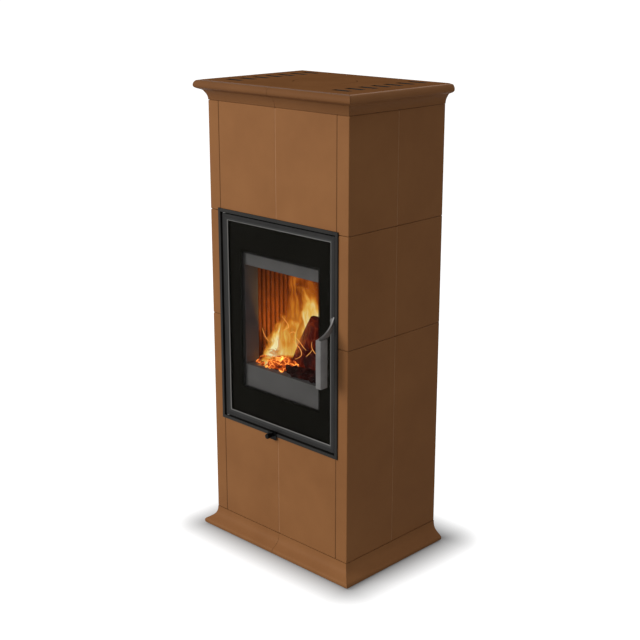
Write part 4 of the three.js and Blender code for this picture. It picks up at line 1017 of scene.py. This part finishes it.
def lump(i, count, middle, reach):
    outward = math.sqrt((i + 0.5) / count)
    px = middle[0] + reach[0] * outward * math.sin(i * SPIRAL_STEP)
    py = middle[1] + reach[1] * outward * math.cos(i * SPIRAL_STEP)
    size = LUMP_LEAST + LUMP_EXTRA * abs(math.sin(i * 1.7))
    pz = hearth_top + size * (LUMP_SEAT + LUMP_HEAP * (1 - outward))
    bpy.ops.mesh.primitive_ico_sphere_add(subdivisions=2, radius=size, location=(px, py, pz))
    piece = bpy.context.object
    piece.scale = (LUMP_SHAPE[0] + LUMP_CHANGE[0] * math.sin(i * 12.99),
                   LUMP_SHAPE[1] + LUMP_CHANGE[1] * math.cos(i * 78.23), LUMP_SHAPE[2])
    piece.rotation_euler = (math.sin(i * 3.1) * LUMP_TILT, math.cos(i * 5.7) * LUMP_TILT,
                            i * LUMP_SPIN)
    return piece


def lump_bed(name, count, middle, reach, material):
    lumps = [lump(i, count, middle, reach) for i in range(count)]
    bpy.ops.object.select_all(action="DESELECT")
    for piece in lumps:
        piece.select_set(True)
    bpy.context.view_layer.objects.active = lumps[0]
    bpy.ops.object.join()
    bed = bpy.context.object
    bed.name = name
    only(bed)
    bpy.ops.object.transform_apply(location=True, rotation=True, scale=True)
    for vertex in bed.data.vertices:
        vertex.co += CRUMBLE * noise.noise_vector(vertex.co * CRUMBLE_SCALE)
    return settle(bed, "stove", material, LUMP_ANGLE)


# %% Embers on the left, cold coal on the right
noise.seed_set(BED_SEED)
embers = lump_bed("ember_bed", count=80, middle=(-0.075, -0.105), reach=(0.068, 0.052),
                  material=ember_finish)
cold_coal = lump_bed("cold_coal", count=48, middle=(0.062, -0.136), reach=(0.080, 0.024),
                     material=cold_coal_finish)
print("embers", len(embers.data.polygons), "faces, cold coal", len(cold_coal.data.polygons))

# %% [markdown]
# ## Sparks
# Sparks rise in curls, and the photograph shows them as short bright threads. A particle
# system would strew them anywhere, so each is a thin tapering thread along a listed curve.
# All lie in an upright plane just inside the mouth, in front of the logs and of all
# flames but the low one.

# %% Glow of the sparks
SPARK_RED, SPARK_GOLD = (0.95, 0.18, 0.02), (1.0, 0.60, 0.15)
SPARK_STRENGTH = 1.25

spark_glow = bpy.data.materials.new("spark_glow")
tree = new_tree(spark_glow)
flicker = add_node(tree, "ShaderNodeTexNoise", Scale=60.0)
tone = two_tones(tree, SPARK_RED, SPARK_GOLD)
light = add_node(tree, "ShaderNodeEmission", Strength=SPARK_STRENGTH)
output = add_node(tree, "ShaderNodeOutputMaterial")
tree.links.new(object_place(tree), flicker.inputs["Vector"])
tree.links.new(flicker.outputs["Fac"], tone.inputs["Fac"])
tree.links.new(tone.outputs["Color"], light.inputs["Color"])
tree.links.new(light.outputs[0], output.inputs["Surface"])
print(spark_glow.name, "ready")

# %% Spark threads
# Points are (right, up) in metres from the foot of the middle flame, as the camera sees them.
SPARK_FOOT = Vector((-0.0695, -0.116, hearth_top))
THREAD_RADIUS = 0.0007
THREAD_TIP = 0.35
STEP_RIGHT = Vector((1 / math.cos(FLAME_TURN), 0, 0))
spark_curves = {
    "spark_left": [(-0.052, 0.098), (-0.048, 0.082), (-0.040, 0.070), (-0.030, 0.062)],
    "spark_curl": [(0.008, 0.150), (0.022, 0.138), (0.030, 0.124), (0.018, 0.116),
                   (0.010, 0.108)],
    "spark_hook": [(0.040, 0.086), (0.056, 0.076), (0.066, 0.060), (0.062, 0.044),
                   (0.046, 0.034)],
    "spark_high": [(0.030, 0.105), (0.040, 0.118), (0.048, 0.112)],
    "spark_arc": [(0.046, 0.100), (0.058, 0.092), (0.068, 0.078), (0.078, 0.070)],
    "spark_right": [(0.094, 0.100), (0.092, 0.086), (0.100, 0.072), (0.108, 0.066)],
    "spark_low": [(0.078, 0.052), (0.088, 0.064), (0.096, 0.078)],
}


def spark(name, points):
    data = bpy.data.curves.new(name, "CURVE")
    data.dimensions = "3D"
    data.bevel_depth = THREAD_RADIUS
    data.bevel_resolution = 2
    spline = data.splines.new("NURBS")
    spline.points.add(len(points) - 1)
    spline.use_endpoint_u = True
    spline.order_u = 3
    for i, (point, (along, up)) in enumerate(zip(spline.points, points)):
        point.co = (*(SPARK_FOOT + STEP_RIGHT * along + UP * up), 1)
        point.radius = THREAD_TIP + math.sin(math.pi * (i + 0.4) / (len(points) - 0.2))
    thread = bpy.data.objects.new(name, data)
    bpy.context.scene.collection.objects.link(thread)
    only(thread)
    bpy.ops.object.convert(target="MESH")
    return settle(bpy.context.object, "stove", spark_glow, GLOW_ANGLE)


for name, points in spark_curves.items():
    spark(name, points)
print(len(spark_curves), "sparks")

# %% [markdown]
# ## Screws
# Two small screws sit in the door's right stile, and eight larger ones hold the rear panel
# along its upright edges. A bump could stand for them, but a head has an edge that catches
# the light. So one head of each size is modelled, a short cylinder with a round recess inset
# in its face, and the others are copies of it.

# %% One head and its copies
HEAD_SIDES = 24
RECESS_RIM, RECESS_SLOPE, RECESS_DEPTH = 0.45, 0.06, 0.35
HEAD_BEVEL = 0.12


def is_cap(face):
    return len(face.vertices) > 4


def screw_head(radius, height):
    bpy.ops.mesh.primitive_cylinder_add(vertices=HEAD_SIDES, radius=radius, depth=height,
                                        rotation=(math.pi / 2, 0, 0))
    head = bpy.context.object
    select_faces(head, is_cap)
    bpy.ops.mesh.inset(thickness=radius * RECESS_RIM, depth=0)
    bpy.ops.mesh.inset(thickness=radius * RECESS_SLOPE, depth=-height * RECESS_DEPTH)
    bpy.ops.object.mode_set(mode="OBJECT")
    apply_modifier(head, "BEVEL", width=radius * HEAD_BEVEL, segments=2, limit_method="ANGLE")
    return head


def set_screws(head, places, body, slot):
    copies = [head]
    while len(copies) < len(places):
        twin = head.copy()
        twin.data = head.data.copy()
        bpy.context.scene.collection.objects.link(twin)
        copies.append(twin)
    for screw, (name, place) in zip(copies, places.items()):
        screw.name = name
        screw.location = place
        settle(screw, body, finishes[slot])
    print(len(copies), "screws in", slot)


# %% Screws of the door and the rear panel
# A head is its radius and its height.
STILE_HEAD = (0.0024, 0.0012)
STILE_X = 0.2165
STILE_HEIGHTS = (0.871, 0.501)
PANEL_HEAD = (0.0045, 0.0022)
PANEL_X = 0.2277
PANEL_MARGIN = 0.06
PANEL_PROUD = 0.0011
PANEL_ROWS = 4

stile_places = {f"stile_screw_{i + 1}": (STILE_X, rim_front, height)
                for i, height in enumerate(STILE_HEIGHTS)}
set_screws(screw_head(*STILE_HEAD), stile_places, "door", "dark_steel")

low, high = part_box("rear_panel")
row_step = (high.z - low.z - 2 * PANEL_MARGIN) / (PANEL_ROWS - 1)
panel_places = {}
for side, x in (("left", -PANEL_X), ("right", PANEL_X)):
    for i in range(PANEL_ROWS):
        height = low.z + PANEL_MARGIN + i * row_step
        panel_places[f"panel_screw_{side}_{i + 1}"] = (x, high.y + PANEL_PROUD, height)
set_screws(screw_head(*PANEL_HEAD), panel_places, "stove", "zinc")
